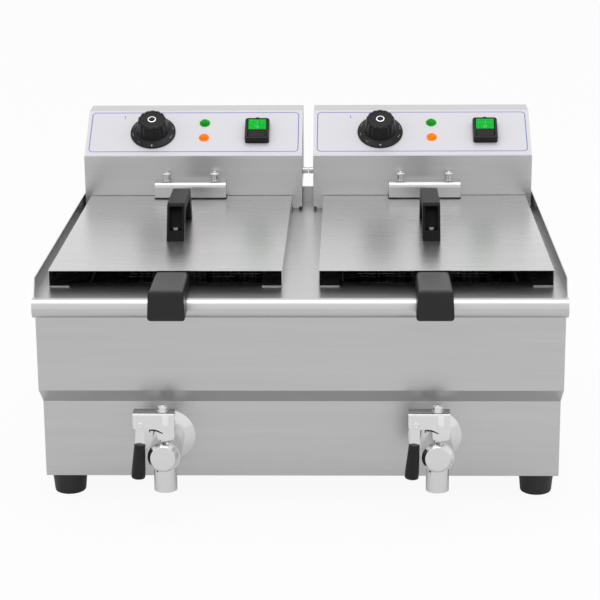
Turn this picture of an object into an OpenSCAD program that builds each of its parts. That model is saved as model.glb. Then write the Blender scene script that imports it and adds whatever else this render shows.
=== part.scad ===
// Electric deep fryer with two tanks side by side and a drain tap in front of each.
// +X is the viewer's right, +Y the back, +Z up, in millimetres.
// The origin lies on the table, under the middle of the whole outline.
// Depths in this file count back from the face of the upper front panel.

/* [Cabinet] */
// Width across the two cabinet sides
body_w = 560; // [550:1:620]
// Depth from the upper front panel to the back
body_d = 462; // [460:1:490]
// Sheet of the cabinet, the hob top and the heads
sheet = 1; // [0.8:0.1:1.5]
// Height of the recessed lower front panel
lower_h = 86; // [80:1:110]
// Height of the slanted step between the two front panels
step_h = 21; // [16:1:40]
// Height of the upper front panel below the hob lip
upper_h = 83; // [80:1:120]
// How far the lower front panel stands back
recess = 28; // [24:1:34]

/* [Feet] */
// Height of a rubber foot
foot_h = 27; // [20:1:40]
// Diameter of a foot where it meets the base
foot_top_d = 40; // [32:1:44]
// Diameter of a foot on the table
foot_low_d = 34; // [20:1:36]
// Round of the foot's lower edge
foot_round = 3; // [1:0.5:5]
// Diameter of the stud moulded into a foot
foot_stud_d = 6; // [5:0.5:8]
// Distance of the feet from the cabinet sides
foot_in_x = 22; // [22:1:50]
// Distance of the front feet from the lower front panel
foot_in_front = 28; // [24:1:60]
// Distance of the rear feet from the back
foot_in_back = 38; // [24:1:60]

/* [Hob top] */
// Height of the rounded front lip
lip_h = 21; // [14:1:24]
// How far the lip stands in front of the upper panel
lip_out = 16; // [13:1:20]
// Height of the side and rear walls above the deck
wall_h = 18; // [14:1:24]
// Depth at which the sloped front end of a side wall begins
wall_start = 2; // [0:1:10]
// Length of that sloped end
wall_slope = 9; // [5:1:20]

/* [Oil tank] */
// Distance between the middles of the two tanks
tank_pitch = 290; // [286:1:300]
// Inner width of a tank
tank_w = 236; // [226:1:246]
// Inner length of a tank
tank_l = 385; // [382:1:387]
// Depth of the tank's front wall
tank_front = 58; // [56:1:60]
// Depth of the tank below the deck
tank_h = 175; // [167:1:177]
// Sheet of tank and lid
thin_sheet = 0.8; // [0.6:0.1:1]
// Corner radius of the tank
tank_r = 12; // [10:1:28]
// Width of the tank's rim flange
rim_w = 8; // [5:0.5:8]

/* [Lid] */
// Width of a lid
lid_w = 251; // [246:1:256]
// Depth at which the lid begins
lid_front = 39; // [30:1:46]
// Depth at which the lid ends, just before the head
lid_back = 405; // [400:1:406]
// Height of the lid's side skirts
lid_h = 18; // [18:1:24]
// Width of the hem turned in below each side skirt
hem_w = 22; // [14:1:24]
// Height of the lid handle
handle_h = 39.5; // [36:0.5:50]
// Length of the lid handle, front to back
handle_l = 123; // [110:1:140]
// Width of the lid handle
handle_w = 20; // [18:1:26]
// Depth of the handle's front end
handle_front = 168; // [150:1:180]
// How far each handle leg leans in towards the top
handle_splay = 20; // [10:1:24]
// Thickness of the handle's bridge
bridge_t = 10; // [9:1:14]
// Length of each handle leg, front to back
leg_l = 16; // [15:1:20]
// Height of the solid foot at the base of the front leg
leg_foot_h = 11; // [8:1:14]
// Diameter of a handle screw
screw_d = 5; // [4:0.5:6]

/* [Basket] */
// Outer width of the basket
basket_w = 200; // [180:1:206]
// Outer length of the basket
basket_l = 290; // [270:1:294]
// Height of the basket
basket_h = 124; // [110:1:126]
// Corner radius of the basket
basket_r = 26; // [20:1:34]
// Thickness of the wire mesh
mesh_t = 3; // [2:0.5:4]
// Depth of the basket's front wall
basket_front = 74; // [73:1:76]
// Diameter of the handle rods
rod_d = 6; // [5:0.5:8]
// Distance between the two handle rods
rod_pitch = 20; // [16:1:24]
// Length of the rods inside the grip
rod_in_grip = 40; // [30:1:50]
// Width of the basket grip at its top
grip_w = 37; // [34:1:44]
// Thickness of the grip over the deck
grip_t = 15; // [13:1:15]
// Height of the grip's front end
grip_end_h = 33.5; // [24:0.5:36]
// How far the grip stands in front of the upper panel
grip_out = 40; // [34:1:46]
// Depth of the grip's rear end, under the lid
grip_back = 54; // [50:1:60]
// Edge round of the grip
grip_round = 5; // [3:0.5:6]
// Sideways offset of basket grip from the tank's middle
grip_shift = 3; // [0:0.5:5]

/* [Control head] */
// Distance between the middles of the two heads
head_pitch = 285; // [284:1:290]
// Width of a head
head_w = 271; // [262:1:271]
// Depth of the head's front face
head_front = 407; // [407:1:410]
// Height of the head's upright front face
head_face_h = 64.5; // [60:0.5:72]
// Rise of the slanted panel
panel_rise = 45; // [40:1:54]
// Run of the slanted panel
panel_run = 68; // [62:1:76]
// Depth of the head's flat top
head_top_l = 38; // [34:1:60]
// Height of the pads that carry the head on the deck
pad_h = 4; // [3:0.5:6]
// Step under the head's rear, which clears the rear wall
head_step_h = 22; // [22:1:28]
// Depth of the head's lower part
head_foot_l = 41; // [38:1:42]

/* [Panel] */
// Knob position across the panel
knob_x = -52; // [-70:1:-45]
// Knob position up the panel
knob_up = 41; // [36:0.5:46]
// Diameter of the knob's skirt
skirt_d = 56.7; // [50:0.1:60]
// Diameter of the knob's body at the skirt
knob_d = 41; // [34:1:44]
// Diameter of the knob's top
knob_top_d = 35; // [30:1:38]
// Height of the knob
knob_h = 24; // [18:0.5:28]
// Diameter of the thermostat shaft
shaft_d = 6; // [5:0.5:8]
// Lamp position across the panel
lamp_x = 12.3; // [5:0.1:20]
// Green lamp position up the panel
green_up = 58; // [54:1:66]
// Amber lamp position up the panel
amber_up = 32; // [30:1:40]
// Diameter of a lamp lens
lamp_d = 13; // [10:0.5:15]
// Diameter of a lamp's body in the panel
lamp_body_d = 10; // [8:0.5:12]
// Rocker switch position across the panel
rocker_x = 79; // [70:1:90]
// Rocker switch position up the panel
rocker_up = 40.4; // [36:0.1:46]
// Width of the rocker frame
frame_w = 30.5; // [28:0.5:34]
// Height of the rocker frame up the panel
frame_l = 37; // [34:1:42]
// How far the rocker frame stands out of the panel
frame_t = 9; // [6:0.5:11]
// Width of the rocker key
key_w = 22; // [18:0.5:24]
// Length of the rocker key
key_l = 27.5; // [22:0.5:28]
// Tilt of the rocker key each way
key_tilt = 9; // [5:1:12]

/* [Hanger] */
// Length of the hanger bar
bar_w = 88; // [76:1:96]
// How far the hanger bar stands out of the head
bar_out = 20; // [18:1:20]
// Height of the hanger bar
bar_h = 19; // [14:0.5:20]
// Clear height between the lid and the hanger bar
bar_gap = 1.5; // [1:0.5:5]
// Wall of the hanger bar
bar_wall = 2; // [1.5:0.5:3]
// Distance between the two hanger pins
pin_pitch = 60; // [50:1:66]
// Diameter of a hanger pin
pin_d = 6.7; // [5:0.1:8]
// Diameter of a pin's head
pin_head_d = 13; // [11:0.5:14]
// Height of a pin above the bar
pin_h = 12; // [12:0.5:20]

/* [Heating element] */
// Diameter of a heating tube
tube_d = 8.5; // [6.5:0.5:10]
// Distance between the two runs of one hairpin
hairpin_w = 32; // [28:1:36]
// Distance between neighbouring hairpins
hairpin_pitch = 64; // [60:1:66]
// Height of the tube middles above the tank floor
tube_up = 36; // [30:1:38]
// Depth of the hairpins' front bends
tube_front = 112; // [100:1:130]
// Depth of the risers in front of the tank's rear wall
riser_in = 13; // [11:1:16]
// Bend radius at the foot of a riser
riser_bend = 20; // [16:1:30]

/* [Drain tap] */
// Distance between the two taps
tap_pitch = 289; // [285:1:293]
// Sideways offset of both taps to the right
tap_shift = 1; // [0:0.5:3]
// Height of the drain pipe's axis above the cabinet's lower edge
tap_up = 47; // [46:1:50]
// Outer diameter of the drain pipe
pipe_d = 22; // [19:1:24]
// Bore of the drain pipe and the valve
flow_d = 15; // [10:1:16]
// Diameter of the wall flange
flange_d = 58; // [50:1:64]
// Thickness of the wall flange
flange_t = 2.5; // [1.5:0.5:4]
// Diameter of the valve body
valve_d = 34; // [33:0.5:35]
// Distance of the outlet's axis in front of the upper panel
outlet_out = 28; // [26:0.5:28]
// Diameter of the outlet tube
outlet_d = 24.5; // [22:0.5:25]
// Bore of the outlet tube
outlet_bore_d = 18.5; // [15:0.5:19]
// Length of the outlet tube below the pipe's axis
outlet_l = 41; // [34:0.5:42]
// Distance of the stem's axis in front of the upper panel
stem_out = 35; // [35:0.5:36]
// Diameter of the valve ball
ball_d = 19; // [17:0.5:19]
// Diameter of the valve stem
stem_d = 6; // [5:0.5:7]
// Diameter of the neck round the stem
neck_d = 11; // [10:0.5:11.5]
// Distance of the front cap's rim in front of the upper panel
cap_out = 41; // [40.5:0.5:41]
// Diameter of the front cap
cap_d = 33.4; // [30:0.1:33.4]
// Diameter of the front cap's flat end
cap_end_d = 26; // [22:1:27]
// Length of the front cap
cap_l = 7.6; // [7:0.1:8]

/* [Tap lever] */
// Top of the lever plate above the pipe's axis
lever_up = 49; // [48:1:52]
// Width of the lever plate, front to back
lever_w = 18; // [17.5:0.5:20]
// Reach of the lever plate to the left of the stem
lever_reach = 31; // [31:0.5:36]
// Reach of the lever plate to the right of the stem
lever_tail = 12.5; // [10:0.5:14]
// Thickness of the lever plate
lever_t = 2; // [1.5:0.5:2]
// Height of the lever plate's front skirt
lever_skirt = 18; // [18:1:20]
// Height of the skirt's part before the neck
neck_skirt = 29; // [24:1:29]
// Width of the skirt's part before the neck
neck_skirt_w = 18; // [14:1:20]
// Distance of the folding arm's rivet from the stem
rivet_x = 23; // [23:0.5:25]
// Distance of the rivet below the plate's top
rivet_down = 13; // [12:0.5:14]
// Diameter of the rivet
rivet_d = 5; // [4:0.5:6]
// Width of the folding arm
arm_w = 10; // [9:0.5:11]
// Thickness of the folding arm
arm_t = 2; // [1.5:0.5:2.5]
// Distance from the rivet to the grip's top
arm_bare = 22; // [16:1:24]
// Length of the rubber grip
sleeve_l = 38; // [34:1:46]
// Diameter of the rubber grip at its top
sleeve_top_d = 11.6; // [11:0.1:12]
// Diameter of the rubber grip at its lower end
sleeve_low_d = 15; // [12:0.1:15]
// Outward lean of the hanging arm, in degrees
arm_lean = 4; // [4:0.5:8]

/* [Hidden] */

$fn = 64;
eps = 0.01;             // overshoot of a cut past a face
gap = 0.3;              // air between pieces that move apart
pipe_end = 2;           // depth at which the drain pipe ends in the valve body
button_out = 6;         // how far the reset button and its bushing stand out
fit_gap = 0.1;          // air round a fixed pin in its hole
run_gap = 0.06;         // radial running clearance of a turning pin
steel = [0.80, 0.80, 0.80];
chrome = [0.88, 0.88, 0.90];
black = [0.08, 0.08, 0.08];

// Levels
cabinet_z = foot_h;
step_low_z = cabinet_z + lower_h;
step_top_z = step_low_z + step_h;
lip_low_z = step_top_z + upper_h;
deck_z = lip_low_z + lip_h;
under_z = deck_z - sheet;
wall_top_z = deck_z + wall_h;
lid_low_z = deck_z + gap;
lid_top_z = lid_low_z + lid_h;
tank_floor_z = deck_z - tank_h;
tube_z = tank_floor_z + tube_up;
head_low_z = deck_z + pad_h;
face_top_z = head_low_z + head_face_h;
head_top_z = face_top_z + panel_rise;
head_step_z = head_low_z + head_step_h;
bar_low_z = lid_top_z + bar_gap;
tap_z = cabinet_z + tap_up;
lever_z = tap_z + lever_up;

// Depths
lip_r = lip_h / 2;
lip_y = lip_r - lip_out;
tank_back = tank_front + tank_l;
riser_y = tank_back - riser_in;
panel_end = head_front + panel_run;
head_back = panel_end + head_top_l;
foot_end = head_front + head_foot_l;
panel_tilt = atan2(panel_rise, panel_run);
panel_l = sqrt(pow(panel_rise, 2) + pow(panel_run, 2));
valve_rear = recess - flange_t;
front_reach = max(cap_out + cap_l, grip_out);
back_reach = head_back + button_out;
shift_y = (front_reach - back_reach) / 2;

side_in = body_w / 2 + gap;
side_out = side_in + sheet;
tank_x = tank_pitch / 2;
head_x = head_pitch / 2;
tap_x = tap_pitch / 2;

// Cabinet and drain tap details
base_flange_h = 12;     // height of the base plate's turned-up edge
seat_t = 4;             // thickness of the valve seat
outlet_roof = 5;        // wall between the flow bore and the outlet's bore
ball_r = ball_d / 2;
chamber_r = ball_r + 1;
seat_y = ball_r - stem_out;
neck_top = lever_up - lever_t - gap;
nut_h = 6;              // height of the stem nut
nut_d = 11;             // width of the stem nut across its corners
arm_y = lever_t + gap - stem_out - lever_w / 2;
rivet_head_t = 1.5;     // thickness of a rivet head
rivet_head_r = rivet_d / 2 + 1.2;
rivet_z = lever_up - rivet_down;

// Head details
stud_y = 39;            // depth of the side stud behind the head's front face
stud_up = 38;           // height of the side stud above the head's underside
stud_d = 8;
stud_l = 6.5;
pad_w = 8;              // width of a pad under the head
pad_in = 4;             // distance of a pad from the head's side
limit_x = -90;          // the high-limit thermostat, across the head
limit_up = 40;          // and above the head's rear step
limit_bush_d = 12;
limit_depth = 12;       // depth of the reset button's bore
reset_d = 8;
block_x = 20;           // the terminal block, across the head
gland_x = 95;           // the cable gland, across the head
gland_in = 28;          // and in front of the head's back
gland_d = 16;
bulb_x = hairpin_pitch / 2;
bulb_l = 140;
capillary_d = 3;
bush_d = 10;            // threaded bushing of the thermostat
pin_thread_d = 5;
riser_top_z = head_low_z + 24;
strip_t = 1.5;          // thickness of the strips that join the hairpins

// Rocker details
window_w = key_w + 1;
window_l = key_l + 3;
frame_wall = 1.5;
pivot_up = 5;           // height of the key's pivot above the panel
pivot_d = 3;
key_depth = 6;          // depth of the key below its pivot

// Basket and lid details
basket_in = 5.75;       // how far a basket sits off its tank's middle, towards the other one
basket_shift = 1.75;    // and how far both sit to the right
basket_low_z = tube_z + tube_d / 2 + strip_t + gap;
basket_top_z = basket_low_z + basket_h;
grip_top_z = lid_top_z - thin_sheet - 2 * gap;
grip_low_z = grip_top_z - grip_t;
rod_z = grip_low_z + grip_t / 2;
notch_gap = 0.8;        // air between the lid's notch and the hanger bar
handle_lean = handle_splay / handle_h;
slot_l = leg_l - 4;     // depth of the slot in a handle leg
slot_roof = 3.5;        // material above that slot
slot_side = 3;          // and at each side of it

// Places a piece at the middle of the left (-1) or right (1) tank
module at_tank(side) translate([side * tank_x, shift_y, 0]) children();

// Places a piece at the middle of the left or right head
module at_head(side) translate([side * head_x, shift_y, 0]) children();

// Places a piece at the left or right tap, with z = 0 on the pipe's axis
module at_tap(side) translate([side * tap_x + tap_shift, shift_y, tap_z]) children();

// Places a piece on the slanted panel: x across, y up the slope, z out of it
module on_panel(x, up)
    translate([x, head_front, face_top_z]) rotate([panel_tilt, 0, 0]) translate([0, up, 0]) children();

// Extrudes an outline drawn as depth and height across the width w
module across(w) translate([-w / 2, 0, 0]) rotate([90, 0, 90]) linear_extrude(w) children();

// A box given by its middle in x, its front depth, its base and its size
module block(x, y, z, size) translate([x - size[0] / 2, y, z]) cube(size);

// A cylinder lying front to back, from depth y towards the back
module rod_y(y, length, r) translate([0, y, 0]) rotate([-90, 0, 0]) cylinder(h = length, r = r);

// A rectangle w by l with round corners, its front edge on y = 0
module round_rect(w, l, r) {
    translate([-w / 2 + r, 0]) square([w - 2 * r, l]);
    translate([-w / 2, r]) square([w, l - 2 * r]);
    for (x = [-1, 1], y = [r, l - r])
        translate([x * (w / 2 - r), y]) circle(r = r);
}

// ---- Cabinet ----

module cabinet() {
    step_tilt = atan2(step_h, recess);
    inner_top = step_top_z - sheet * tan(step_tilt) + sheet / cos(step_tilt);
    inner_low = inner_top - recess * tan(step_tilt);
    color(steel) translate([0, shift_y, 0]) difference() {
        across(body_w) polygon([
            [0, under_z], [0, step_top_z], [recess, step_low_z],
            [recess, cabinet_z], [body_d, cabinet_z], [body_d, under_z]
        ]);
        across(body_w - 2 * sheet) polygon([
            [sheet, under_z + 1], [sheet, inner_top], [recess + sheet, inner_low],
            [recess + sheet, cabinet_z - 1], [body_d - sheet, cabinet_z - 1], [body_d - sheet, under_z + 1]
        ]);
        for (side = [-1, 1])
            translate([side * tap_x + tap_shift, 0, tap_z]) rod_y(recess - 1, sheet + 2, pipe_d / 2 + gap);
        for (side = [-1, 1], row = [0:5])
            block(side * tank_x, body_d - sheet - 1, cabinet_z + 60 + row * 12, [80, sheet + 2, 4]);
    }
}

module base_plate() {
    front = recess + sheet + gap;
    back = body_d - sheet - gap;
    w = body_w - 2 * sheet - 2 * gap;
    color(steel) translate([0, shift_y, 0]) difference() {
        block(0, front, cabinet_z, [w, back - front, base_flange_h]);
        block(0, front + sheet, cabinet_z + sheet,
            [w - 2 * sheet, back - front - 2 * sheet, base_flange_h]);
        at_feet() cylinder(h = foot_h, r = foot_stud_d / 2 + fit_gap, center = true);
    }
}

// The four places where a foot meets the base
module at_feet() {
    for (x = [-1, 1], y = [recess + foot_in_front, body_d - foot_in_back])
        translate([x * (body_w / 2 - foot_in_x), y, cabinet_z]) children();
}

module feet() {
    color(black) translate([0, shift_y, 0]) at_feet() {
        rotate_extrude() {
            polygon([
                [0, -foot_h], [foot_low_d / 2 - foot_round, -foot_h],
                [foot_low_d / 2, foot_round - foot_h],
                [foot_top_d / 2, 0], [0, 0]
            ]);
            intersection() {
                translate([foot_low_d / 2 - foot_round, foot_round - foot_h])
                    circle(r = foot_round, $fn = 32);
                translate([0, -foot_h]) square([foot_low_d, foot_round]);
            }
        }
        cylinder(h = sheet + 8, r = foot_stud_d / 2);
    }
}

module hob_top() {
    wall_knee = wall_start + wall_slope;
    color(steel) translate([0, shift_y, 0]) difference() {
        union() {
            block(0, lip_y, under_z, [2 * side_out, body_d - lip_y, sheet]);
            across(2 * side_out) translate([lip_y, deck_z - lip_r]) intersection() {
                difference() {
                    circle(r = lip_r);
                    circle(r = lip_r - sheet);
                }
                translate([-2 * lip_r, -lip_r]) square(2 * lip_r);
            }
            block(0, lip_y, lip_low_z, [2 * side_out, -lip_y, sheet]);
            for (side = [-1, 1])
                translate([side * (side_in + side_out) / 2, 0, 0]) across(sheet) {
                    translate([lip_y, deck_z - lip_r]) circle(r = lip_r);
                    polygon([
                        [lip_y, lip_low_z], [body_d, lip_low_z], [body_d, wall_top_z],
                        [wall_knee, wall_top_z], [wall_start, deck_z], [lip_y, deck_z]
                    ]);
                }
            block(0, body_d - sheet, under_z, [2 * side_out, sheet, wall_h + sheet]);
        }
        for (side = [-1, 1])
            translate([side * tank_x, tank_front, deck_z - lip_h]) linear_extrude(2 * lip_h)
                round_rect(tank_w, tank_l, tank_r);
    }
}

// ---- Oil tank ----

module tank(side) {
    pipe_x = side * (tap_x - tank_x) + tap_shift;
    rim = thin_sheet + rim_w;
    color(steel) difference() {
        union() {
            translate([0, tank_front - rim, under_z - thin_sheet]) linear_extrude(thin_sheet)
                round_rect(tank_w + 2 * rim, tank_l + 2 * rim, tank_r + rim_w);
            translate([0, tank_front - thin_sheet, tank_floor_z - thin_sheet])
                linear_extrude(under_z - tank_floor_z + thin_sheet)
                round_rect(tank_w + 2 * thin_sheet, tank_l + 2 * thin_sheet, tank_r + thin_sheet);
            translate([pipe_x, 0, tap_z]) rod_y(pipe_end, tank_front - pipe_end, pipe_d / 2);
        }
        translate([0, tank_front, tank_floor_z]) linear_extrude(tank_h) round_rect(tank_w, tank_l, tank_r);
        translate([pipe_x, 0, tap_z]) rod_y(pipe_end - 1, tank_front - pipe_end + 3, flow_d / 2);
    }
}

// ---- Drain tap, drawn round the pipe's axis ----

module tap_flanges() {
    color(chrome) for (side = [-1, 1])
        at_tap(side) difference() {
            rod_y(valve_rear, flange_t, flange_d / 2);
            rod_y(valve_rear - 1, flange_t + 2, pipe_d / 2 + fit_gap);
        }
}

module tap_body() {
    color(chrome) difference() {
        union() {
            rod_y(-cap_out, valve_rear + cap_out, valve_d / 2);
            translate([0, -outlet_out, -outlet_l]) cylinder(h = outlet_l, d = outlet_d);
            translate([0, -stem_out, 0]) cylinder(h = neck_top, d = neck_d);
        }
        rod_y(pipe_end, recess, pipe_d / 2 + fit_gap);
        rod_y(-cap_out, cap_out + pipe_end + 1, flow_d / 2);
        rod_y(-cap_out - 1, cap_out + seat_y + seat_t + 1, chamber_r);
        translate([0, -stem_out, 0]) cylinder(h = lever_up, r = stem_d / 2 + run_gap);
        translate([0, -stem_out, -flow_d / 2 - outlet_roof - 1])
            cylinder(h = flow_d / 2 + outlet_roof, d = ball_r);
        translate([0, -outlet_out, -outlet_l - 1])
            cylinder(h = outlet_l + 1 - flow_d / 2 - outlet_roof, d = outlet_bore_d);
    }
}

module tap_caps() {
    spigot_l = 2.5;
    face_gap = gap;
    color(chrome) for (side = [-1, 1])
        at_tap(side) difference() {
            union() {
                translate([0, -cap_out, 0]) rotate([90, 0, 0])
                    cylinder(h = cap_l, d1 = cap_d, d2 = cap_end_d);
                rod_y(-cap_out - eps, spigot_l, chamber_r - fit_gap);
            }
            translate([0, -stem_out, 0]) sphere(r = ball_r + face_gap);
            rod_y(-stem_out, cap_out, chamber_r);
        }
}

module valve_seats() {
    color("white") for (side = [-1, 1])
        at_tap(side) difference() {
            rod_y(seat_y, seat_t, chamber_r);
            rod_y(seat_y - 1, seat_t + 2, flow_d / 2);
            translate([0, -stem_out, 0]) sphere(r = ball_r + gap);
        }
}

module valve_ball() {
    stem_top = lever_up + nut_h + 1;
    port_r = ball_r / 2;
    color(chrome) difference() {
        union() {
            translate([0, -stem_out, 0]) sphere(r = ball_r);
            translate([0, -stem_out, 0]) cylinder(h = stem_top, d = stem_d);
        }
        translate([0, -stem_out, 0]) rotate([0, 90, 0]) cylinder(h = ball_d, r = port_r);
        translate([0, -stem_out, -ball_d]) cylinder(h = ball_d, r = port_r);
    }
}

module tap_lever() {
    front = -stem_out - lever_w / 2;
    length = lever_reach + lever_tail;
    plate_x = (lever_tail - lever_reach) / 2;
    color(chrome) difference() {
        union() {
            block(plate_x, front, lever_up - lever_t, [length, lever_w, lever_t]);
            block(plate_x, front, lever_up - lever_skirt, [length, lever_t, lever_skirt]);
            block(lever_tail - neck_skirt_w / 2, front, lever_up - neck_skirt,
                [neck_skirt_w, lever_t, neck_skirt]);
            block(plate_x, front + lever_w - lever_t, lever_up - 2 * lever_t - 2,
                [length, lever_t, 2 * lever_t + 2]);
        }
        translate([0, -stem_out, lever_up - lever_t - 1])
            cylinder(h = lever_t + 2, r = stem_d / 2 + fit_gap);
        translate([-rivet_x, 0, lever_up - rivet_down])
            rod_y(front - 1, lever_t + 2, rivet_d / 2 + fit_gap);
    }
}

module lever_fixings() {
    color(chrome) {
        difference() {
            translate([0, -stem_out, lever_up]) cylinder(h = nut_h, d = nut_d, $fn = 6);
            translate([0, -stem_out, lever_up - 1]) cylinder(h = nut_h + 2, r = stem_d / 2 + fit_gap);
        }
        translate([-rivet_x, 0, rivet_z]) {
            rod_y(arm_y - gap - lever_t - rivet_head_t, rivet_head_t, rivet_head_r);
            rod_y(arm_y - gap - lever_t - eps, lever_t + arm_t + 2 * gap + 2 * eps, rivet_d / 2);
            rod_y(arm_y + arm_t + gap, rivet_head_t, rivet_head_r);
        }
    }
}

// Turns what hangs from the rivet outwards by the arm's lean
module hanging() translate([-rivet_x, arm_y, rivet_z]) rotate([0, arm_lean, 0]) children();

module lever_arm() {
    arm_l = arm_bare + sleeve_l - 4;
    core_w = sleeve_top_d - 4;
    color(chrome) hanging() difference() {
        union() {
            rod_y(0, arm_t, arm_w / 2);
            block(0, 0, -arm_bare, [arm_w, arm_t, arm_bare]);
            block(0, 0, -arm_l, [core_w, arm_t, arm_l]);
        }
        rod_y(-1, arm_t + 2, rivet_d / 2 + run_gap);
    }
}

module lever_grip() {
    core_w = sleeve_top_d - 4;
    round_r = 3;
    low_r = sleeve_low_d / 2;
    color(black) hanging() difference() {
        translate([0, arm_t / 2, -arm_bare - sleeve_l]) rotate_extrude() {
            polygon([
                [0, 0], [low_r - round_r, 0], [low_r - 0.1, round_r],
                [sleeve_top_d / 2, sleeve_l], [0, sleeve_l]
            ]);
            translate([low_r - round_r, round_r]) circle(r = round_r, $fn = 32);
        }
        block(0, -fit_gap, -arm_bare - sleeve_l + 3, [core_w + 2 * fit_gap, arm_t + 2 * fit_gap, sleeve_l]);
    }
}

// ---- Control head, drawn round its own middle ----

module head_shell(side) {
    slope = tan(panel_tilt);
    drop = sheet / cos(panel_tilt);
    window_edge = 2 * (frame_wall + fit_gap);
    color(steel) {
        difference() {
            across(head_w) polygon([
                [head_front, head_low_z], [head_front, face_top_z], [panel_end, head_top_z],
                [head_back, head_top_z], [head_back, head_step_z],
                [foot_end, head_step_z], [foot_end, head_low_z]
            ]);
            across(head_w - 2 * sheet) polygon([
                [head_front + sheet, head_low_z - 1],
                [head_front + sheet, face_top_z + sheet * slope - drop],
                [panel_end + (drop - sheet) / slope, head_top_z - sheet],
                [head_back + 1, head_top_z - sheet], [head_back + 1, head_low_z - 1]
            ]);
            on_panel(knob_x, knob_up) cylinder(h = 4 * sheet, r = bush_d / 2 + fit_gap, center = true);
            for (up = [green_up, amber_up])
                on_panel(lamp_x, up) cylinder(h = 4 * sheet, r = lamp_body_d / 2 + fit_gap, center = true);
            on_panel(rocker_x, rocker_up)
                cube([window_w + window_edge, window_l + window_edge, 4 * sheet], center = true);
        }
        translate([-side * head_w / 2, head_front + stud_y, head_low_z + stud_up])
            rotate([0, -side * 90, 0]) cylinder(h = stud_l, d = stud_d);
    }
}

module head_cover() {
    w = head_w - 2 * sheet;
    back = head_back - sheet;
    color(steel) difference() {
        union() {
            block(0, head_front + sheet, head_low_z, [w, head_foot_l - sheet, sheet]);
            block(0, foot_end - sheet, head_low_z, [w, sheet, head_step_h + sheet]);
            block(0, foot_end - sheet, head_step_z, [w, head_back - foot_end + sheet, sheet]);
            block(0, back, head_step_z, [w, sheet, head_top_z - sheet - head_step_z]);
            for (x = [-1, 1])
                block(x * (head_w / 2 - pad_in - pad_w / 2), head_front + 4, deck_z + gap,
                    [pad_w, head_foot_l - 8, pad_h - gap + eps]);
        }
        for (x = [-1:1], leg = [-1, 1])
            translate([x * hairpin_pitch + leg * hairpin_w / 2, riser_y, head_low_z - 1])
                cylinder(h = sheet + 2, r = tube_d / 2 + fit_gap);
        translate([bulb_x, riser_y, head_low_z - 1])
            cylinder(h = sheet + 2, r = capillary_d / 2 + fit_gap);
        translate([gland_x, head_back - gland_in, head_step_z - 1])
            cylinder(h = sheet + 2, r = gland_d / 2 + fit_gap);
        translate([limit_x, 0, head_step_z + limit_up])
            rod_y(back - 1, sheet + 2, limit_bush_d / 2 + fit_gap);
        for (row = [0:5])
            block(block_x, back - 1, head_step_z + 18 + row * 9, [110, sheet + 2, 3.5]);
    }
}

// The bar's side outline, shrunk by t, with a round upper front edge
module bar_outline(t) {
    r = 7 - t;
    front = head_front - bar_out + t;
    top = bar_low_z + bar_h - t;
    polygon(concat(
        [[head_front, bar_low_z + t], [front, bar_low_z + t]],
        [for (a = [180:-15:90]) [front + r + r * cos(a), top - r + r * sin(a)]],
        [[head_front, top]]
    ));
}

module at_pins() {
    for (x = [-1, 1])
        translate([x * pin_pitch / 2, head_front - bar_out / 2, bar_low_z + bar_h]) children();
}

module hanger_bar() {
    color(steel) difference() {
        across(bar_w) bar_outline(0);
        across(bar_w - 2 * bar_wall) bar_outline(bar_wall);
        at_pins() cylinder(h = 4 * bar_wall, r = pin_thread_d / 2 + fit_gap, center = true);
    }
}

module hanger_pins() {
    dome_h = 4;
    color(chrome) at_pins() {
        translate([0, 0, -bar_wall - 4]) cylinder(h = bar_wall + 5, d = pin_thread_d);
        cylinder(h = pin_h - dome_h / 2, d = pin_d);
        translate([0, 0, pin_h - dome_h]) intersection() {
            cylinder(h = dome_h, d = pin_head_d);
            translate([0, 0, dome_h - pin_head_d]) sphere(r = pin_head_d);
        }
    }
}

module element() {
    r = tube_d / 2;
    bend_r = hairpin_w / 2;
    straight_end = riser_y - riser_bend;
    color([0.45, 0.45, 0.47]) {
        for (x = [-1:1]) translate([x * hairpin_pitch, 0, 0]) {
            translate([0, tube_front + bend_r, tube_z]) rotate([0, 0, 180])
                rotate_extrude(angle = 180) translate([bend_r, 0]) circle(r = r);
            for (leg = [-1, 1]) translate([leg * bend_r, 0, 0]) {
                translate([0, 0, tube_z]) rod_y(tube_front + bend_r, straight_end - tube_front - bend_r, r);
                translate([0, straight_end, tube_z + riser_bend]) riser_elbow(r);
                translate([0, riser_y, tube_z + riser_bend])
                    cylinder(h = riser_top_z - tube_z - riser_bend, r = r);
                translate([0, riser_y, head_low_z + sheet]) cylinder(h = 4, r = r + 2.5, $fn = 6);
                translate([0, riser_y, head_low_z - 3]) cylinder(h = 3, r = r + 2);
                translate([0, riser_y, riser_top_z]) cylinder(h = 8, r = 2);
            }
        }
        for (y = [tube_front + 60, straight_end - 50])
            block(0, y, tube_z + r - 1, [2 * hairpin_pitch + hairpin_w + tube_d, 12, strip_t + 1]);
    }
}

// Quarter bend from a run towards the back up into a riser, round the bend's own centre
module riser_elbow(r) {
    rotate([0, 90, 0]) rotate_extrude(angle = 90) translate([riser_bend, 0]) circle(r = r);
}

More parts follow.
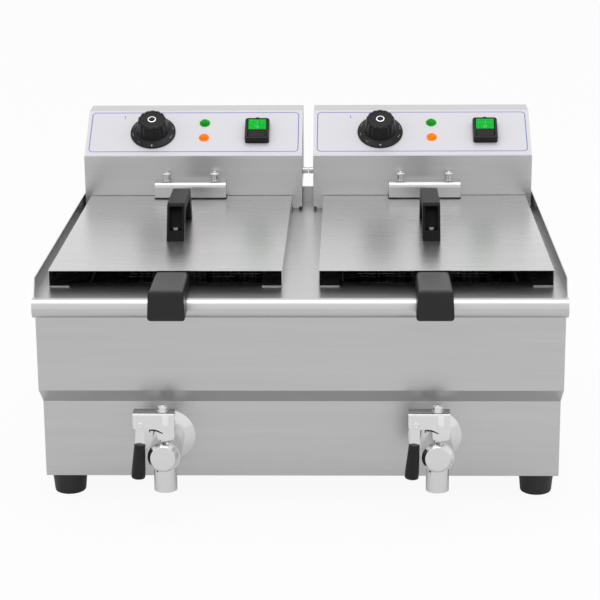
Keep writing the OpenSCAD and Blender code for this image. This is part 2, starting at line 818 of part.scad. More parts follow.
module thermostat() {
    body_r = 20;
    body_h = 24;
    bulb_d = 6;
    cap_z = face_top_z + 7;
    straight_end = riser_y - riser_bend;
    color([0.75, 0.70, 0.55]) {
        on_panel(knob_x, knob_up) {
            translate([0, 0, -sheet - body_h]) cylinder(h = body_h, r = body_r);
            translate([0, 0, -sheet - 1]) cylinder(h = sheet + 3, d = bush_d);
            cylinder(h = knob_h - 5, d = shaft_d);
        }
        translate([bulb_x, riser_y, tube_z + riser_bend])
            cylinder(h = cap_z - tube_z - riser_bend, d = capillary_d);
        translate([knob_x, riser_y, cap_z]) rotate([0, 90, 0])
            cylinder(h = bulb_x - knob_x, d = capillary_d);
        translate([bulb_x, riser_y, cap_z]) sphere(d = capillary_d);
        translate([bulb_x, straight_end, tube_z + riser_bend]) riser_elbow(capillary_d / 2);
        translate([bulb_x, 0, tube_z]) rod_y(straight_end - bulb_l, bulb_l + eps, bulb_d / 2);
    }
    color([0.75, 0.70, 0.55]) translate([limit_x, 0, head_step_z + limit_up]) difference() {
        union() {
            block(0, head_back - sheet - 26, -12, [24, 26, 24]);
            rod_y(head_back - sheet - 1, sheet + 4, limit_bush_d / 2);
            rod_y(head_back, 2.5, limit_bush_d / 2 + 3);
        }
        rod_y(head_back - limit_depth, limit_depth + 8, reset_d / 2 + run_gap);
    }
}

module reset_button() {
    travel_room = 4;
    color("red") translate([limit_x, 0, head_step_z + limit_up])
        rod_y(head_back - limit_depth + travel_room, limit_depth - travel_room + button_out, reset_d / 2);
}

module terminal_block() {
    size = [50, 34, 30];
    color("ivory") translate([block_x, head_back - 50, head_step_z + sheet]) difference() {
        translate([-size[0] / 2, 0, 0]) cube(size);
        for (x = [-2:2])
            translate([x * 9, -1, size[2] - 8]) cube([6, size[1] + 2, 9], center = false);
    }
}

module cable_gland() {
    r = gland_d / 2;
    color(black) translate([gland_x, head_back - gland_in, head_step_z]) difference() {
        union() {
            translate([0, 0, -eps]) cylinder(h = sheet + 8, r = r);
            translate([0, 0, sheet]) cylinder(h = 4, r = r + 3, $fn = 6);
            translate([0, 0, -5]) cylinder(h = 5, r = r + 3, $fn = 6);
            translate([0, 0, -12]) cylinder(h = 7, r = r + 1);
        }
        translate([0, 0, -13]) cylinder(h = 24 + sheet, r = r - 4);
    }
}

// A round lens on the panel, with its body behind it
module lamp(up, tint) {
    body_l = 18;
    dome_h = 3;
    rim_h = 1.5;
    r = lamp_d / 2;
    ball = (r * r + dome_h * dome_h) / (2 * dome_h);
    color(tint) on_panel(lamp_x, up) {
        cylinder(h = rim_h, r = r);
        translate([0, 0, rim_h - eps]) intersection() {
            cylinder(h = dome_h, r = r);
            translate([0, 0, dome_h - ball]) sphere(r = ball);
        }
        translate([0, 0, -sheet - body_l]) cylinder(h = body_l + sheet + 1, d = lamp_body_d);
    }
}

module lamp_green() lamp(green_up, "limegreen");
module lamp_amber() lamp(amber_up, "orange");

module rocker_frame() {
    body_h = 20;
    color(black) on_panel(rocker_x, rocker_up) difference() {
        union() {
            translate([-frame_w / 2, -frame_l / 2, 0]) cube([frame_w, frame_l, frame_t]);
            translate([-window_w / 2 - frame_wall, -window_l / 2 - frame_wall, -body_h])
                cube([window_w + 2 * frame_wall, window_l + 2 * frame_wall, body_h + 1]);
        }
        translate([-window_w / 2, -window_l / 2, -body_h + 4]) cube([window_w, window_l, body_h + frame_t]);
        translate([0, 0, pivot_up]) rotate([0, 90, 0])
            cylinder(h = window_w + 6, r = pivot_d / 2 + run_gap, center = true);
    }
}

module rocker_key() {
    half = key_l / 2;
    color("green") on_panel(rocker_x, rocker_up) translate([0, 0, pivot_up]) rotate([key_tilt, 0, 0]) {
        across(key_w) polygon([
            [0.5 - half, -key_depth], [half - 0.5, -key_depth], [half, 4.5], [0, 2.2], [-half, 4.5]
        ]);
        rotate([0, 90, 0]) cylinder(h = window_w + 5, d = pivot_d, center = true);
    }
}

module knob() {
    skirt_t = 2.5;
    cone_start = 5;
    edge = 1.5;
    hub_r = bush_d / 2 + 1;
    color(black) on_panel(knob_x, knob_up) difference() {
        rotate_extrude() polygon([
            [0, gap], [skirt_d / 2, gap], [skirt_d / 2, skirt_t], [knob_d / 2, cone_start],
            [knob_top_d / 2, knob_h - edge], [knob_top_d / 2 - edge, knob_h], [0, knob_h]
        ]);
        cylinder(h = 3, r = hub_r);
        cylinder(h = knob_h - 4.5, r = shaft_d / 2 + run_gap);
    }
}

// ---- Basket ----

module at_basket(side) translate([side * (tank_x - basket_in) + basket_shift, shift_y, 0]) children();

// Places a handle rod's middle line at x = 0
module at_rods() {
    for (x = [-1, 1])
        translate([x * rod_pitch / 2, 0, 0]) children();
}

module basket() {
    r = rod_d / 2;
    bend = 10;
    rod_y0 = basket_front - r + 0.5;
    inner_w = basket_w - 2 * mesh_t;
    inner_l = basket_l - 2 * mesh_t;
    color(chrome) {
        difference() {
            translate([0, basket_front, basket_low_z]) linear_extrude(basket_h)
                round_rect(basket_w, basket_l, basket_r);
            translate([0, basket_front + mesh_t, basket_low_z + mesh_t]) linear_extrude(basket_h)
                round_rect(inner_w, inner_l, basket_r - mesh_t);
        }
        at_rods() {
            translate([0, rod_y0, basket_top_z - 60]) cylinder(h = rod_z - bend - basket_top_z + 60, r = r);
            translate([0, rod_y0 - bend, rod_z - bend]) rotate([0, -90, 0]) rotate_extrude(angle = 90)
                translate([bend, 0]) circle(r = r);
            translate([0, 0, rod_z])
                rod_y(grip_back - rod_in_grip, rod_y0 - bend - grip_back + rod_in_grip, r);
        }
    }
}

// Points of an arc round [x, y], from angle a to angle b
function arc(x, y, r, a, b) =
    [for (i = [0:6]) let (t = a + (b - a) * i / 6) [x + r * cos(t), y + r * sin(t)]];

module basket_grip() {
    r = grip_round;
    low = grip_top_z - grip_end_h;
    heel = lip_out + 1.2;
    flare = 1.2;
    half = grip_w / 2;
    color(black) difference() {
        intersection() {
            across(2 * grip_w) polygon(concat(
                arc(grip_back - 2, grip_top_z - 2, 2, 0, 90),
                arc(r - grip_out, grip_top_z - r, r, 90, 180),
                arc(r - grip_out, low + r, r, 180, 270),
                arc(-heel - 2, low + 2, 2, 270, 360),
                arc(2 - heel, grip_low_z - 2, 2, 180, 90),
                arc(grip_back - 2, grip_low_z + 2, 2, 270, 360)
            ));
            translate([0, 2 * grip_back, 0]) rotate([90, 0, 0]) linear_extrude(4 * grip_back)
                polygon(concat(
                    arc(half - r, grip_top_z - r, r, 0, 90),
                    arc(r - half, grip_top_z - r, r, 90, 180),
                    arc(r - half - flare, low + r, r, 180, 270),
                    arc(half + flare - r, low + r, r, 270, 360)
                ));
        }
        at_rods() translate([0, 0, rod_z])
            rod_y(grip_back - rod_in_grip, rod_in_grip + 1, rod_d / 2 + fit_gap);
    }
}

// ---- Lid ----

module lid() {
    length = lid_back - lid_front;
    skirt_x = (lid_w - thin_sheet) / 2;
    color(steel) difference() {
        union() {
            block(0, lid_front, lid_top_z - thin_sheet, [lid_w, length, thin_sheet]);
            block(0, lid_back - thin_sheet, lid_low_z, [lid_w, thin_sheet, lid_h]);
            for (x = [-1, 1]) {
                block(x * skirt_x, lid_front, lid_low_z, [thin_sheet, length, lid_h]);
                block(x * (lid_w - hem_w) / 2, lid_front, lid_low_z, [hem_w, length, thin_sheet]);
            }
        }
        block(0, head_front - bar_out - notch_gap, lid_low_z - 1,
            [bar_w + 2 * notch_gap, bar_out + 2, lid_h + 2]);
        at_handle_screws() cylinder(h = 6 * thin_sheet, r = screw_d / 2 + fit_gap, center = true);
    }
}

// The two handle screws, with z = 0 on the lid
module at_handle_screws() {
    in_y = handle_lean * leg_foot_h + slot_l / 2;
    for (y = [in_y, handle_l - in_y])
        translate([0, handle_front + y, lid_top_z]) children();
}

module lid_handle() {
    r = 7;
    top = lid_top_z + handle_h;
    back = handle_front + handle_l;
    leg_tilt = atan(handle_lean);
    corner = handle_lean * (handle_h - r) + r / cos(leg_tilt);
    open_h = handle_h - bridge_t;
    open_in = handle_lean * open_h + leg_l;
    color(black) difference() {
        across(handle_w) difference() {
            polygon(concat(
                arc(back - corner, top - r, r, leg_tilt, 90),
                arc(handle_front + corner, top - r, r, 90, 180 - leg_tilt),
                [[handle_front, lid_top_z], [back, lid_top_z]]
            ));
            polygon([
                [handle_front + leg_l - handle_lean, lid_top_z - 1],
                [handle_front + open_in, lid_top_z + open_h],
                [back - open_in, lid_top_z + open_h],
                [back - leg_l + handle_lean, lid_top_z - 1]
            ]);
        }
        translate([0, handle_front, 0]) leg_slot();
        translate([0, back, 0]) mirror([0, 1, 0]) leg_slot();
        at_handle_screws() cylinder(h = 2 * handle_h, r = screw_d / 2 + fit_gap, center = true);
    }
}

// The open slot in the outer face of the front leg
module leg_slot() {
    low = leg_foot_h;
    high = handle_h - slot_roof;
    across(handle_w - 2 * slot_side) translate([0, lid_top_z]) polygon([
        [handle_lean * low - leg_l, low], [handle_lean * low + slot_l, low],
        [handle_lean * high + slot_l, high], [handle_lean * high - leg_l, high]
    ]);
}

module lid_screws() {
    head_h = 3;
    nut_t = 4;
    color(chrome) at_handle_screws() {
        translate([0, 0, -thin_sheet - nut_t])
            cylinder(h = leg_foot_h + thin_sheet + nut_t + 1, d = screw_d);
        translate([0, 0, -thin_sheet - nut_t]) cylinder(h = nut_t, r = screw_d * 0.9, $fn = 6);
        translate([0, 0, leg_foot_h]) cylinder(h = head_h, r = screw_d * 0.85);
    }
}

cabinet();
base_plate();
hob_top();
feet();
tap_flanges();
tap_caps();
valve_seats();
at_tank(-1) tank(-1);  // tank_left
at_tank(1) tank(1);  // tank_right
at_tap(-1) tap_body();  // tap_body_left
at_tap(-1) valve_ball();  // valve_ball_left
at_tap(-1) tap_lever();  // tap_lever_left
at_tap(-1) lever_fixings();  // lever_fixings_left
at_tap(-1) lever_arm();  // lever_arm_left
at_tap(-1) lever_grip();  // lever_grip_left
at_tap(1) tap_body();  // tap_body_right
at_tap(1) valve_ball();  // valve_ball_right
at_tap(1) tap_lever();  // tap_lever_right
at_tap(1) lever_fixings();  // lever_fixings_right
at_tap(1) lever_arm();  // lever_arm_right
at_tap(1) lever_grip();  // lever_grip_right
at_head(-1) head_shell(-1);  // head_shell_left
at_head(-1) head_cover();  // head_cover_left
at_head(-1) element();  // element_left
at_head(-1) thermostat();  // thermostat_left
at_head(-1) terminal_block();  // terminal_block_left
at_head(-1) cable_gland();  // cable_gland_left
at_head(-1) lamp_green();  // lamp_green_left
at_head(-1) lamp_amber();  // lamp_amber_left
at_head(-1) rocker_frame();  // rocker_frame_left
at_head(-1) knob();  // knob_left
at_head(-1) rocker_key();  // rocker_key_left
at_head(-1) reset_button();  // reset_button_left
at_head(1) head_shell(1);  // head_shell_right
at_head(1) head_cover();  // head_cover_right
at_head(1) element();  // element_right
at_head(1) thermostat();  // thermostat_right
at_head(1) terminal_block();  // terminal_block_right
at_head(1) cable_gland();  // cable_gland_right
at_head(1) lamp_green();  // lamp_green_right
at_head(1) lamp_amber();  // lamp_amber_right
at_head(1) rocker_frame();  // rocker_frame_right
at_head(1) knob();  // knob_right
at_head(1) rocker_key();  // rocker_key_right
at_head(1) reset_button();  // reset_button_right
at_tank(-1) hanger_bar();  // hanger_bar_left
at_tank(-1) hanger_pins();  // hanger_pins_left
at_tank(-1) lid();  // lid_left
at_tank(-1) lid_handle();  // lid_handle_left
at_tank(-1) lid_screws();  // lid_screws_left
at_tank(1) hanger_bar();  // hanger_bar_right
at_tank(1) hanger_pins();  // hanger_pins_right
at_tank(1) lid();  // lid_right
at_tank(1) lid_handle();  // lid_handle_right
at_tank(1) lid_screws();  // lid_screws_right
at_basket(-1) basket();  // basket_left
at_basket(-1) basket_grip();  // basket_grip_left
at_basket(1) basket();  // basket_right
at_basket(1) basket_grip();  // basket_grip_right
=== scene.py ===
"""A counter-top deep fryer with two oil tanks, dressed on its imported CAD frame. Metres, +X right, +Y back, +Z up."""
from math import atan2, cos, hypot, pi, radians, sin

import bmesh
import bpy
from mathutils import Matrix, Vector


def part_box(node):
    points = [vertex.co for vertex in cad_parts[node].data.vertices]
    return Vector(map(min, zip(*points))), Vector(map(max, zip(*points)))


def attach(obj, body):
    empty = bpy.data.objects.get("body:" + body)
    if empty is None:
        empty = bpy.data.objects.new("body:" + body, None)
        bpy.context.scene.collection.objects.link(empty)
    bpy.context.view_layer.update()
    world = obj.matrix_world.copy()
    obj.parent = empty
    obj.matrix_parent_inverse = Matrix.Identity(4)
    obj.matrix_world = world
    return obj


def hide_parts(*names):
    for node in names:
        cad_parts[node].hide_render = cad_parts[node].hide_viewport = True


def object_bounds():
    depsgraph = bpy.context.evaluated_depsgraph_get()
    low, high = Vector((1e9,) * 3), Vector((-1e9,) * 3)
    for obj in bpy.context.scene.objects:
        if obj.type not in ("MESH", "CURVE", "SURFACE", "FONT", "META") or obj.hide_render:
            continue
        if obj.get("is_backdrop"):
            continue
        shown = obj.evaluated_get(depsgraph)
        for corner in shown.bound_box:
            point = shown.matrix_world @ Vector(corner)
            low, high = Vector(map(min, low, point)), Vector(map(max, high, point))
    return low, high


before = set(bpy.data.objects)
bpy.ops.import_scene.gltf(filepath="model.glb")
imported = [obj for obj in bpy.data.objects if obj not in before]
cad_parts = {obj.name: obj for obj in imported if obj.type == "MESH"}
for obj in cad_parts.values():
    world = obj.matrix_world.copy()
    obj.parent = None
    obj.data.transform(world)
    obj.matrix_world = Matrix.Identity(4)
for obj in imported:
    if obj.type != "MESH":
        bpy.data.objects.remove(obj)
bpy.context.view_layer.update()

MM = 0.001
SIDES = ((-1, "left"), (1, "right"))
PANEL_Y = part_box("cabinet")[0][1]       # the face of the upper front panel: depths count back from it
CABINET_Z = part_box("cabinet")[0][2]
DECK_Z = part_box("tank_left")[1][2] + 1 * MM


def middle(node):
    """The middle of a CAD node's box."""
    low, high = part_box(node)
    return (Vector(low) + Vector(high)) / 2


class Value:
    """A shader socket that takes part in plain arithmetic."""

    def __init__(self, mat, socket):
        self.mat, self.socket = mat, socket

    def _math(self, operation, *others):
        return self.mat.node("ShaderNodeMath", 0, *others, operation=operation)

    def __add__(self, other):
        return self._math("ADD", self, other)

    def __mul__(self, other):
        return self._math("MULTIPLY", self, other)

    def __sub__(self, other):
        return self._math("SUBTRACT", self, other)

    def __rsub__(self, other):
        return self._math("SUBTRACT", other, self)

    def __pow__(self, other):
        return self._math("POWER", self, other)

    def __abs__(self):
        return self._math("ABSOLUTE", self)

    def __gt__(self, other):
        return self._math("GREATER_THAN", self, other)

    def max(self, other):
        return self._math("MAXIMUM", self, other)

    def ramp(self, low, high):
        """0 below low, 1 above high."""
        return self.mat.node("ShaderNodeMapRange", 0, self, low, high, 0.0, 1.0, clamp=True)

    __radd__, __rmul__ = __add__, __mul__


class Material:
    """A node material: every constant goes straight onto the Principled shader's own socket."""

    def __init__(self, name, **constants):
        self.data = bpy.data.materials.new(name)
        self.data.use_nodes = True
        self.tree = self.data.node_tree
        self.shader = self.tree.nodes["Principled BSDF"]
        for key, value in constants.items():
            self.shader.inputs[key.replace("_", " ").title().replace("Ior", "IOR")].default_value = value

    def node(self, kind, output, *inputs, **settings):
        """Adds one node, feeds its inputs in order and gives back one of its outputs."""
        node = self.tree.nodes.new(kind)
        for key, value in settings.items():
            setattr(node, key, value)
        for index, value in enumerate(inputs):
            if isinstance(value, Value):
                self.tree.links.new(value.socket, node.inputs[index])
            elif value is not None:
                node.inputs[index].default_value = value
        return Value(self, node.outputs[output])

    def place(self):
        """The piece's own coordinates in metres."""
        return self.node("ShaderNodeTexCoord", "Object")

    def grain_map(self):
        """Own map of a sheet: u along its brushing, v across it, in metres."""
        return self.node("ShaderNodeUVMap", 0, uv_map="grain")

    def stretched(self, vector, scale):
        return self.node("ShaderNodeVectorMath", 0, vector, scale, operation="MULTIPLY")

    def noise(self, vector, scale, detail=2.0, roughness=0.5):
        return self.node("ShaderNodeTexNoise", 0, vector, None, scale, detail, roughness)

    def blend(self, amount, first, second):
        """Mixes two colours."""
        node = self.tree.nodes.new("ShaderNodeMix")
        node.data_type = "RGBA"
        for index, value in ((0, amount), (6, first), (7, second)):
            if isinstance(value, Value):
                self.tree.links.new(value.socket, node.inputs[index])
            else:
                node.inputs[index].default_value = value
        return Value(self, node.outputs[2])

    def bump(self, height, strength, distance):
        return self.node("ShaderNodeBump", 0, strength, distance, None, height)

    def feed(self, **inputs):
        for key, value in inputs.items():
            self.tree.links.new(value.socket, self.shader.inputs[key.replace("_", " ").title()])
        return self.data


def grey(value, warm=0.0):
    return (value + warm, value, value - warm, 1.0)


def sheet_metal(name, tone, rough, streak=0.16, grain=(9.0, 900.0, 1.0)):
    """Brushed stainless sheet: long fine scratches along u, with faint broad clouds from rolling."""
    mat = Material(name, metallic=1.0)
    along = mat.grain_map()
    fine = mat.noise(mat.stretched(along, grain), 1.0, 4.0, 0.65)
    broad = mat.noise(mat.stretched(along, (3.0, 60.0, 1.0)), 1.0, 2.0, 0.5)
    cloud = mat.noise(mat.place(), 6.0, 3.0, 0.5)
    tint = mat.blend(fine * 0.6 + broad * 0.4, grey(tone * (1 - streak)), grey(tone * (1 + streak * 0.6)))
    return mat.feed(
        base_color=tint,
        roughness=fine * 0.12 + cloud * 0.08 + (rough - 0.10),
        normal=mat.bump(fine + broad * 0.5, 0.10, 0.00015),
    )


def plated(name, tone, rough):
    """Nickel or chrome plate: soft clouds in the polish and the faintest orange peel."""
    mat = Material(name, metallic=1.0)
    cloud = mat.noise(mat.place(), 90.0, 3.0, 0.6)
    peel = mat.noise(mat.place(), 700.0, 2.0, 0.5)
    return mat.feed(
        base_color=mat.blend(cloud, grey(tone * 0.94), grey(tone)),
        roughness=cloud * 0.08 + (rough - 0.04),
        normal=mat.bump(peel, 0.05, 0.0001),
    )


def moulded(name, colour, rough, grain, depth=0.25, shine=0.25):
    """Moulded plastic or rubber with a fine spark-eroded grain and slightly uneven gloss."""
    mat = Material(name, specular_ior_level=shine)
    speck = mat.noise(mat.place(), grain, 2.0, 0.6)
    worn = mat.noise(mat.place(), 45.0, 3.0, 0.6)
    light = tuple(min(c * 1.25 + 0.004, 1.0) for c in colour)
    return mat.feed(
        base_color=mat.blend(worn, (*colour, 1.0), (*light, 1.0)),
        roughness=speck * 0.10 + worn * 0.10 + (rough - 0.10),
        normal=mat.bump(speck, depth, 0.0002),
    )


def bmesh_piece(name, bm, body, *materials, smooth=35, stands_for=()):
    """Turns bm into a piece of the object that rides on a body and may stand for CAD nodes."""
    mesh = bpy.data.meshes.new(name)
    bm.to_mesh(mesh)
    bm.free()
    for material in materials:
        mesh.materials.append(material)
    mesh.shade_smooth()
    mesh.set_sharp_from_angle(angle=radians(smooth))
    obj = bpy.data.objects.new(name, mesh)
    bpy.context.scene.collection.objects.link(obj)
    normals = obj.modifiers.new("normals", "WEIGHTED_NORMAL")
    normals.keep_sharp = True
    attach(obj, body)
    if stands_for:
        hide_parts(*stands_for)
    return obj


def map_grain(bm, along):
    """Writes the grain map: u runs along the given axis, or along Y where the face stands across it."""
    layer = bm.loops.layers.uv.new("grain")
    along = Vector(along)
    for face in bm.faces:
        normal = face.normal
        u = along - normal * along.dot(normal)
        if u.length < 0.5:
            u = Vector((0, 1, 0)) - normal * normal.y
        if u.length < 0.5:
            u = Vector((0, 0, 1))
        u.normalize()
        v = normal.cross(u)
        for loop in face.loops:
            loop[layer].uv = (loop.vert.co.dot(u), loop.vert.co.dot(v))


def dressed(node, body, *materials, bevel=0.0, segments=2, along=(1, 0, 0), name=None, smooth=35):
    """A copy of a CAD node: merged, its flat faces joined, its sharp edges eased and its grain mapped."""
    bm = bmesh.new()
    bm.from_mesh(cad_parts[node].data)
    bmesh.ops.remove_doubles(bm, verts=bm.verts, dist=2e-6)
    bmesh.ops.dissolve_limit(bm, angle_limit=radians(1.0), verts=bm.verts, edges=bm.edges)
    if bevel:
        sharp = [e for e in bm.edges if e.is_manifold and e.calc_face_angle(0) > radians(32)]
        bmesh.ops.bevel(
            bm, geom=sharp, offset=bevel, offset_type="OFFSET", segments=segments, profile=0.5,
            affect="EDGES", clamp_overlap=True, material=-1,
        )
    bm.normal_update()
    map_grain(bm, along)
    return bmesh_piece(name or node + "_skin", bm, body, *materials, smooth=smooth, stands_for=(node,))


def eased(points, radius, steps=4):
    """An outline with its corners rounded. A point may carry its own radius as a third number."""
    out = []
    count = len(points)
    for i, point in enumerate(points):
        here = Vector(point[:2])
        r = point[2] if len(point) > 2 else radius
        before = Vector(points[i - 1][:2]) - here
        after = Vector(points[(i + 1) % count][:2]) - here
        angle = before.angle(after)
        reach = min(r / max(1e-6, abs(sin(angle / 2) / cos(angle / 2))) if angle < pi - 1e-3 else 0.0,
                    before.length * 0.49, after.length * 0.49)
        if r <= 0 or reach <= 0:
            out.append((here.x, here.y))
            continue
        start, end = here + before.normalized() * reach, here + after.normalized() * reach
        for k in range(steps + 1):
            t = k / steps
            p = start * (1 - t) ** 2 + here * 2 * t * (1 - t) + end * t ** 2
            out.append((p.x, p.y))
    return out


def loft(bm, loops, cap_start=True, cap_end=True, closed=True, material=0):
    """Skins a row of loops that have the same number of points."""
    rings = [[bm.verts.new(p) for p in loop] for loop in loops]
    count = len(rings[0])
    faces = []
    for low, high in zip(rings, rings[1:]):
        for i in range(count if closed else count - 1):
            j = (i + 1) % count
            faces.append(bm.faces.new((low[i], low[j], high[j], high[i])))
    if cap_start:
        faces.append(bm.faces.new(list(reversed(rings[0]))))
    if cap_end:
        faces.append(bm.faces.new(rings[-1]))
    for face in faces:
        face.material_index = material
    return rings, faces


def lathe(bm, outline, place=Matrix(), steps=48, material=0):
    """Turns an outline of (radius, height) about its own +Z and sets it down by the matrix place."""
    before = set(bm.verts)
    row = [bm.verts.new((r, 0, z)) for r, z in outline]
    edges = [bm.edges.new(pair) for pair in zip(row, row[1:])]
    bmesh.ops.spin(bm, geom=row + edges, cent=(0, 0, 0), axis=(0, 0, 1), angle=2 * pi, steps=steps,
                   use_merge=True)
    made = [v for v in bm.verts if v not in before]
    axis = [v for v in made if hypot(v.co.x, v.co.y) < 1e-7]
    bmesh.ops.remove_doubles(bm, verts=axis, dist=1e-7)
    made = [v for v in bm.verts if v.is_valid and v not in before]
    faces = {f for v in made for f in v.link_faces}
    bmesh.ops.recalc_face_normals(bm, faces=list(faces))
    for face in faces:
        face.material_index = material
    bmesh.ops.transform(bm, matrix=place, verts=made)
    return made


def tube(bm, path, radius, sides=8, closed=False, material=0):
    """A round wire or rod along a row of points."""
    path = [Vector(p) for p in path]
    count = len(path)
    first = (path[1] - path[0]).normalized()
    side = first.orthogonal().normalized()
    loops = []
    for i, point in enumerate(path):
        ahead = path[(i + 1) % count] if closed or i + 1 < count else point
        behind = path[i - 1] if closed or i else point
        way = (ahead - behind).normalized()
        side = (side - way * side.dot(way)).normalized()
        up = way.cross(side)
        loops.append([point + (side * cos(2 * pi * k / sides) + up * sin(2 * pi * k / sides)) * radius
                      for k in range(sides)])
    if closed:
        loops.append(loops[0])
    loft(bm, loops, cap_start=not closed, cap_end=not closed, material=material)


def rounded(w, l, r, z=0.0, steps=5, x=0.0, y=0.0):
    """A rectangle w by l with round corners, middle at x, y, at height z."""
    points = []
    for cx, cy, start in ((w / 2 - r, l / 2 - r, 0), (r - w / 2, l / 2 - r, 90),
                          (r - w / 2, r - l / 2, 180), (w / 2 - r, r - l / 2, 270)):
        for k in range(steps + 1):
            a = radians(start + 90 * k / steps)
            points.append((x + cx + r * cos(a), y + cy + r * sin(a), z))
    return points


# ---- Cabinet ----
# One sheet of 1 mm stainless folded round the front, the sides and the back, brushed lengthways.
# The step between the two front panels is a bend, not a seam.
front_steel = sheet_metal("brushed_front", 0.58, 0.30)
dressed("cabinet", "fryer_base", front_steel, bevel=0.9 * MM)

# ---- Base plate and feet ----
# A galvanised tray that closes the cabinet from below, and four moulded rubber feet, each held to it
# by the stud moulded into its top.
galvanised = plated("galvanised", 0.50, 0.42)
dressed("base_plate", "fryer_base", galvanised, bevel=0.4 * MM)

foot_rubber = moulded("foot_rubber", (0.030, 0.030, 0.030), 0.45, 900.0, 0.2)
FOOT_R, FOOT_LOW_R = 20 * MM, 17 * MM
foot_low, foot_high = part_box("feet")
foot_outline = eased([(0, -CABINET_Z, 0), (FOOT_LOW_R, -CABINET_Z, 3 * MM), (FOOT_LOW_R + 1.2 * MM, -14 * MM, 2 * MM),
                      (FOOT_R - 0.2 * MM, -2 * MM, 1 * MM), (FOOT_R, 0, 0), (0, 0, 0)], 0)
bm = bmesh.new()
for x in (foot_low[0] + FOOT_R, foot_high[0] - FOOT_R):
    for y in (foot_low[1] + FOOT_R, foot_high[1] - FOOT_R):
        lathe(bm, foot_outline, Matrix.Translation((x, y, CABINET_Z)))
bmesh_piece("rubber_feet", bm, "fryer_base", foot_rubber, stands_for=("feet",))

# ---- Hob top ----
# A pressed stainless top with a round front lip, a flat deck and splash walls at the sides and the
# back. The two tanks hang in its holes.
deck_steel = sheet_metal("brushed_deck", 0.60, 0.30)
dressed("hob_top", "fryer_base", deck_steel, bevel=0.35 * MM)

# ---- Oil tanks ----
# Deep-drawn stainless tanks under the deck, satin inside, each with a drain pipe low in its front
# wall. Their grain runs upwards.
tank_steel = sheet_metal("satin_tank", 0.66, 0.42, grain=(40.0, 400.0, 1.0))
for side, w in SIDES:
    dressed("tank_" + w, "fryer_base", tank_steel, along=(0, 0, 1))

# ---- Drain taps ----
# A nickel-plated brass ball valve on each tank's drain pipe: conical wall flange, round body with a
# screwed front cap, an outlet tube straight down, and a neck for the stem.
tap_x = {w: middle("valve_ball_" + w).x for _, w in SIDES}
TAP_Z = middle("tap_flanges").z
tap_metal = plated("satin_nickel", 0.74, 0.15)
cap_metal = plated("turned_nickel", 0.76, 0.20)


def facing_front(x, depth, z):
    """Places a turned piece with its own +Z towards the viewer; depth counts back from the panel."""
    return Matrix.Translation((x, PANEL_Y + depth, z)) @ Matrix.Rotation(pi / 2, 4, "X")


bm = bmesh.new()
flange_outline = eased([(11.1 * MM, 0, 0), (29 * MM, 0, 0.2 * MM), (29 * MM, 1.0 * MM, 0.4 * MM),
                        (20 * MM, 4.6 * MM, 2 * MM), (17.4 * MM, 5.2 * MM, 0.5 * MM), (11.1 * MM, 5.2 * MM, 0)], 0)
for x in tap_x.values():
    lathe(bm, flange_outline + flange_outline[:1], facing_front(x, 28 * MM, TAP_Z), 72)
bmesh_piece("wall_flanges", bm, "fryer_base", tap_metal, stands_for=("tap_flanges",))

bm = bmesh.new()
cap_outline = eased([(0, -1 * MM, 0), (10.3 * MM, -1 * MM, 0), (10.3 * MM, 0, 0), (16.7 * MM, 0, 0.5 * MM),
                     (16.6 * MM, 1.6 * MM, 0.8 * MM), (13.0 * MM, 7.2 * MM, 1.2 * MM), (0, 7.6 * MM, 0)], 0)
for x in tap_x.values():
    lathe(bm, cap_outline, facing_front(x, -41 * MM, TAP_Z), 72)
bmesh_piece("front_caps", bm, "fryer_base", cap_metal, stands_for=("tap_caps",))

for side, w in SIDES:
    dressed("tap_body_" + w, "fryer_base", tap_metal, bevel=0.5 * MM)

# ---- Tap levers ----
# A lever pressed from 2 mm plate, its right end wrapped round the neck as a hood, held on the stem by
# a nut. The handle hangs from a rivet and folds up level with the lever; its grip is a rubber sleeve.
lever_metal = plated("lever_nickel", 0.80, 0.17)
# a darker copy of the lever plate for its upward faces: painted shade standing in for the dark reflection on the
# lever's top
lever_top_shade = plated("lever_top_painted_shade", 0.36, 0.26)
nut_metal = plated("nut_chrome", 0.80, 0.16)
sleeve_rubber = moulded("sleeve_rubber", (0.008, 0.008, 0.008), 0.36, 800.0, 0.15)
# near-black moulding for the tube that paints the shadow in the lever's slit
slit_painted_shadow = moulded("slot_shadow", (0.004, 0.004, 0.004), 0.8, 500.0)
LEVER_Z = TAP_Z + 49 * MM
RIVET_Z = TAP_Z + 36 * MM
# columns of the bent plate: place across, and how far its front reaches down
LEVER_COLUMNS = ((-31, 15.5), (-30.4, 16.9), (-29.4, 17.8), (-28, 18), (-22, 18), (-16, 18), (-11, 18),
                 (-8.5, 18), (-7.2, 18), (-6.6, 18.1), (-6.2, 18.7), (-5.9, 20.5), (-5.7, 24), (-5.5, 27),
                 (-5.1, 28.4), (-4.4, 29), (-3, 29), (-1.5, 29), (0, 29), (1.5, 29), (3, 29), (4.5, 29),
                 (6, 29), (7.5, 29), (9, 29), (10.2, 29), (11.2, 28.8), (12, 28), (12.5, 26.6))


def lever_section(u, reach):
    """Outline of the bent plate at u: rear flange, top, rounded fold and a front that swells into the hood."""
    def swell(drop):
        rise = min(1.0, max(0.0, (drop - 2) / 12))
        half = 5.2 + 4.2 * min(1.0, drop / 26)
        return 3.0 * rise * cos(pi / 2 * min(1.0, abs(u - 3.2) / half)) ** 1.4

    drops = [2.6 + (reach - 0.6 - 2.6) * k / 10 for k in range(11)]
    outer = [(16.3, -6), (17.7, -6), (18, -5.6), (18, -2), (17.4, -0.6), (16, 0), (9, 0), (3.2, 0), (1.9, -0.2),
             (0.8, -0.8), (0.2, -1.7)] + [(-swell(d), -d) for d in drops]
    foot = swell(reach)
    inner = [(0.3 - foot, -reach), (1.7 - foot, -reach)] + [(2 - swell(d), -d) for d in reversed(drops)]
    inner += [(2.6, -2.2), (3.6, -2), (9, -2), (15.2, -2), (16, -2.8), (16, -5.6)]
    return outer + inner


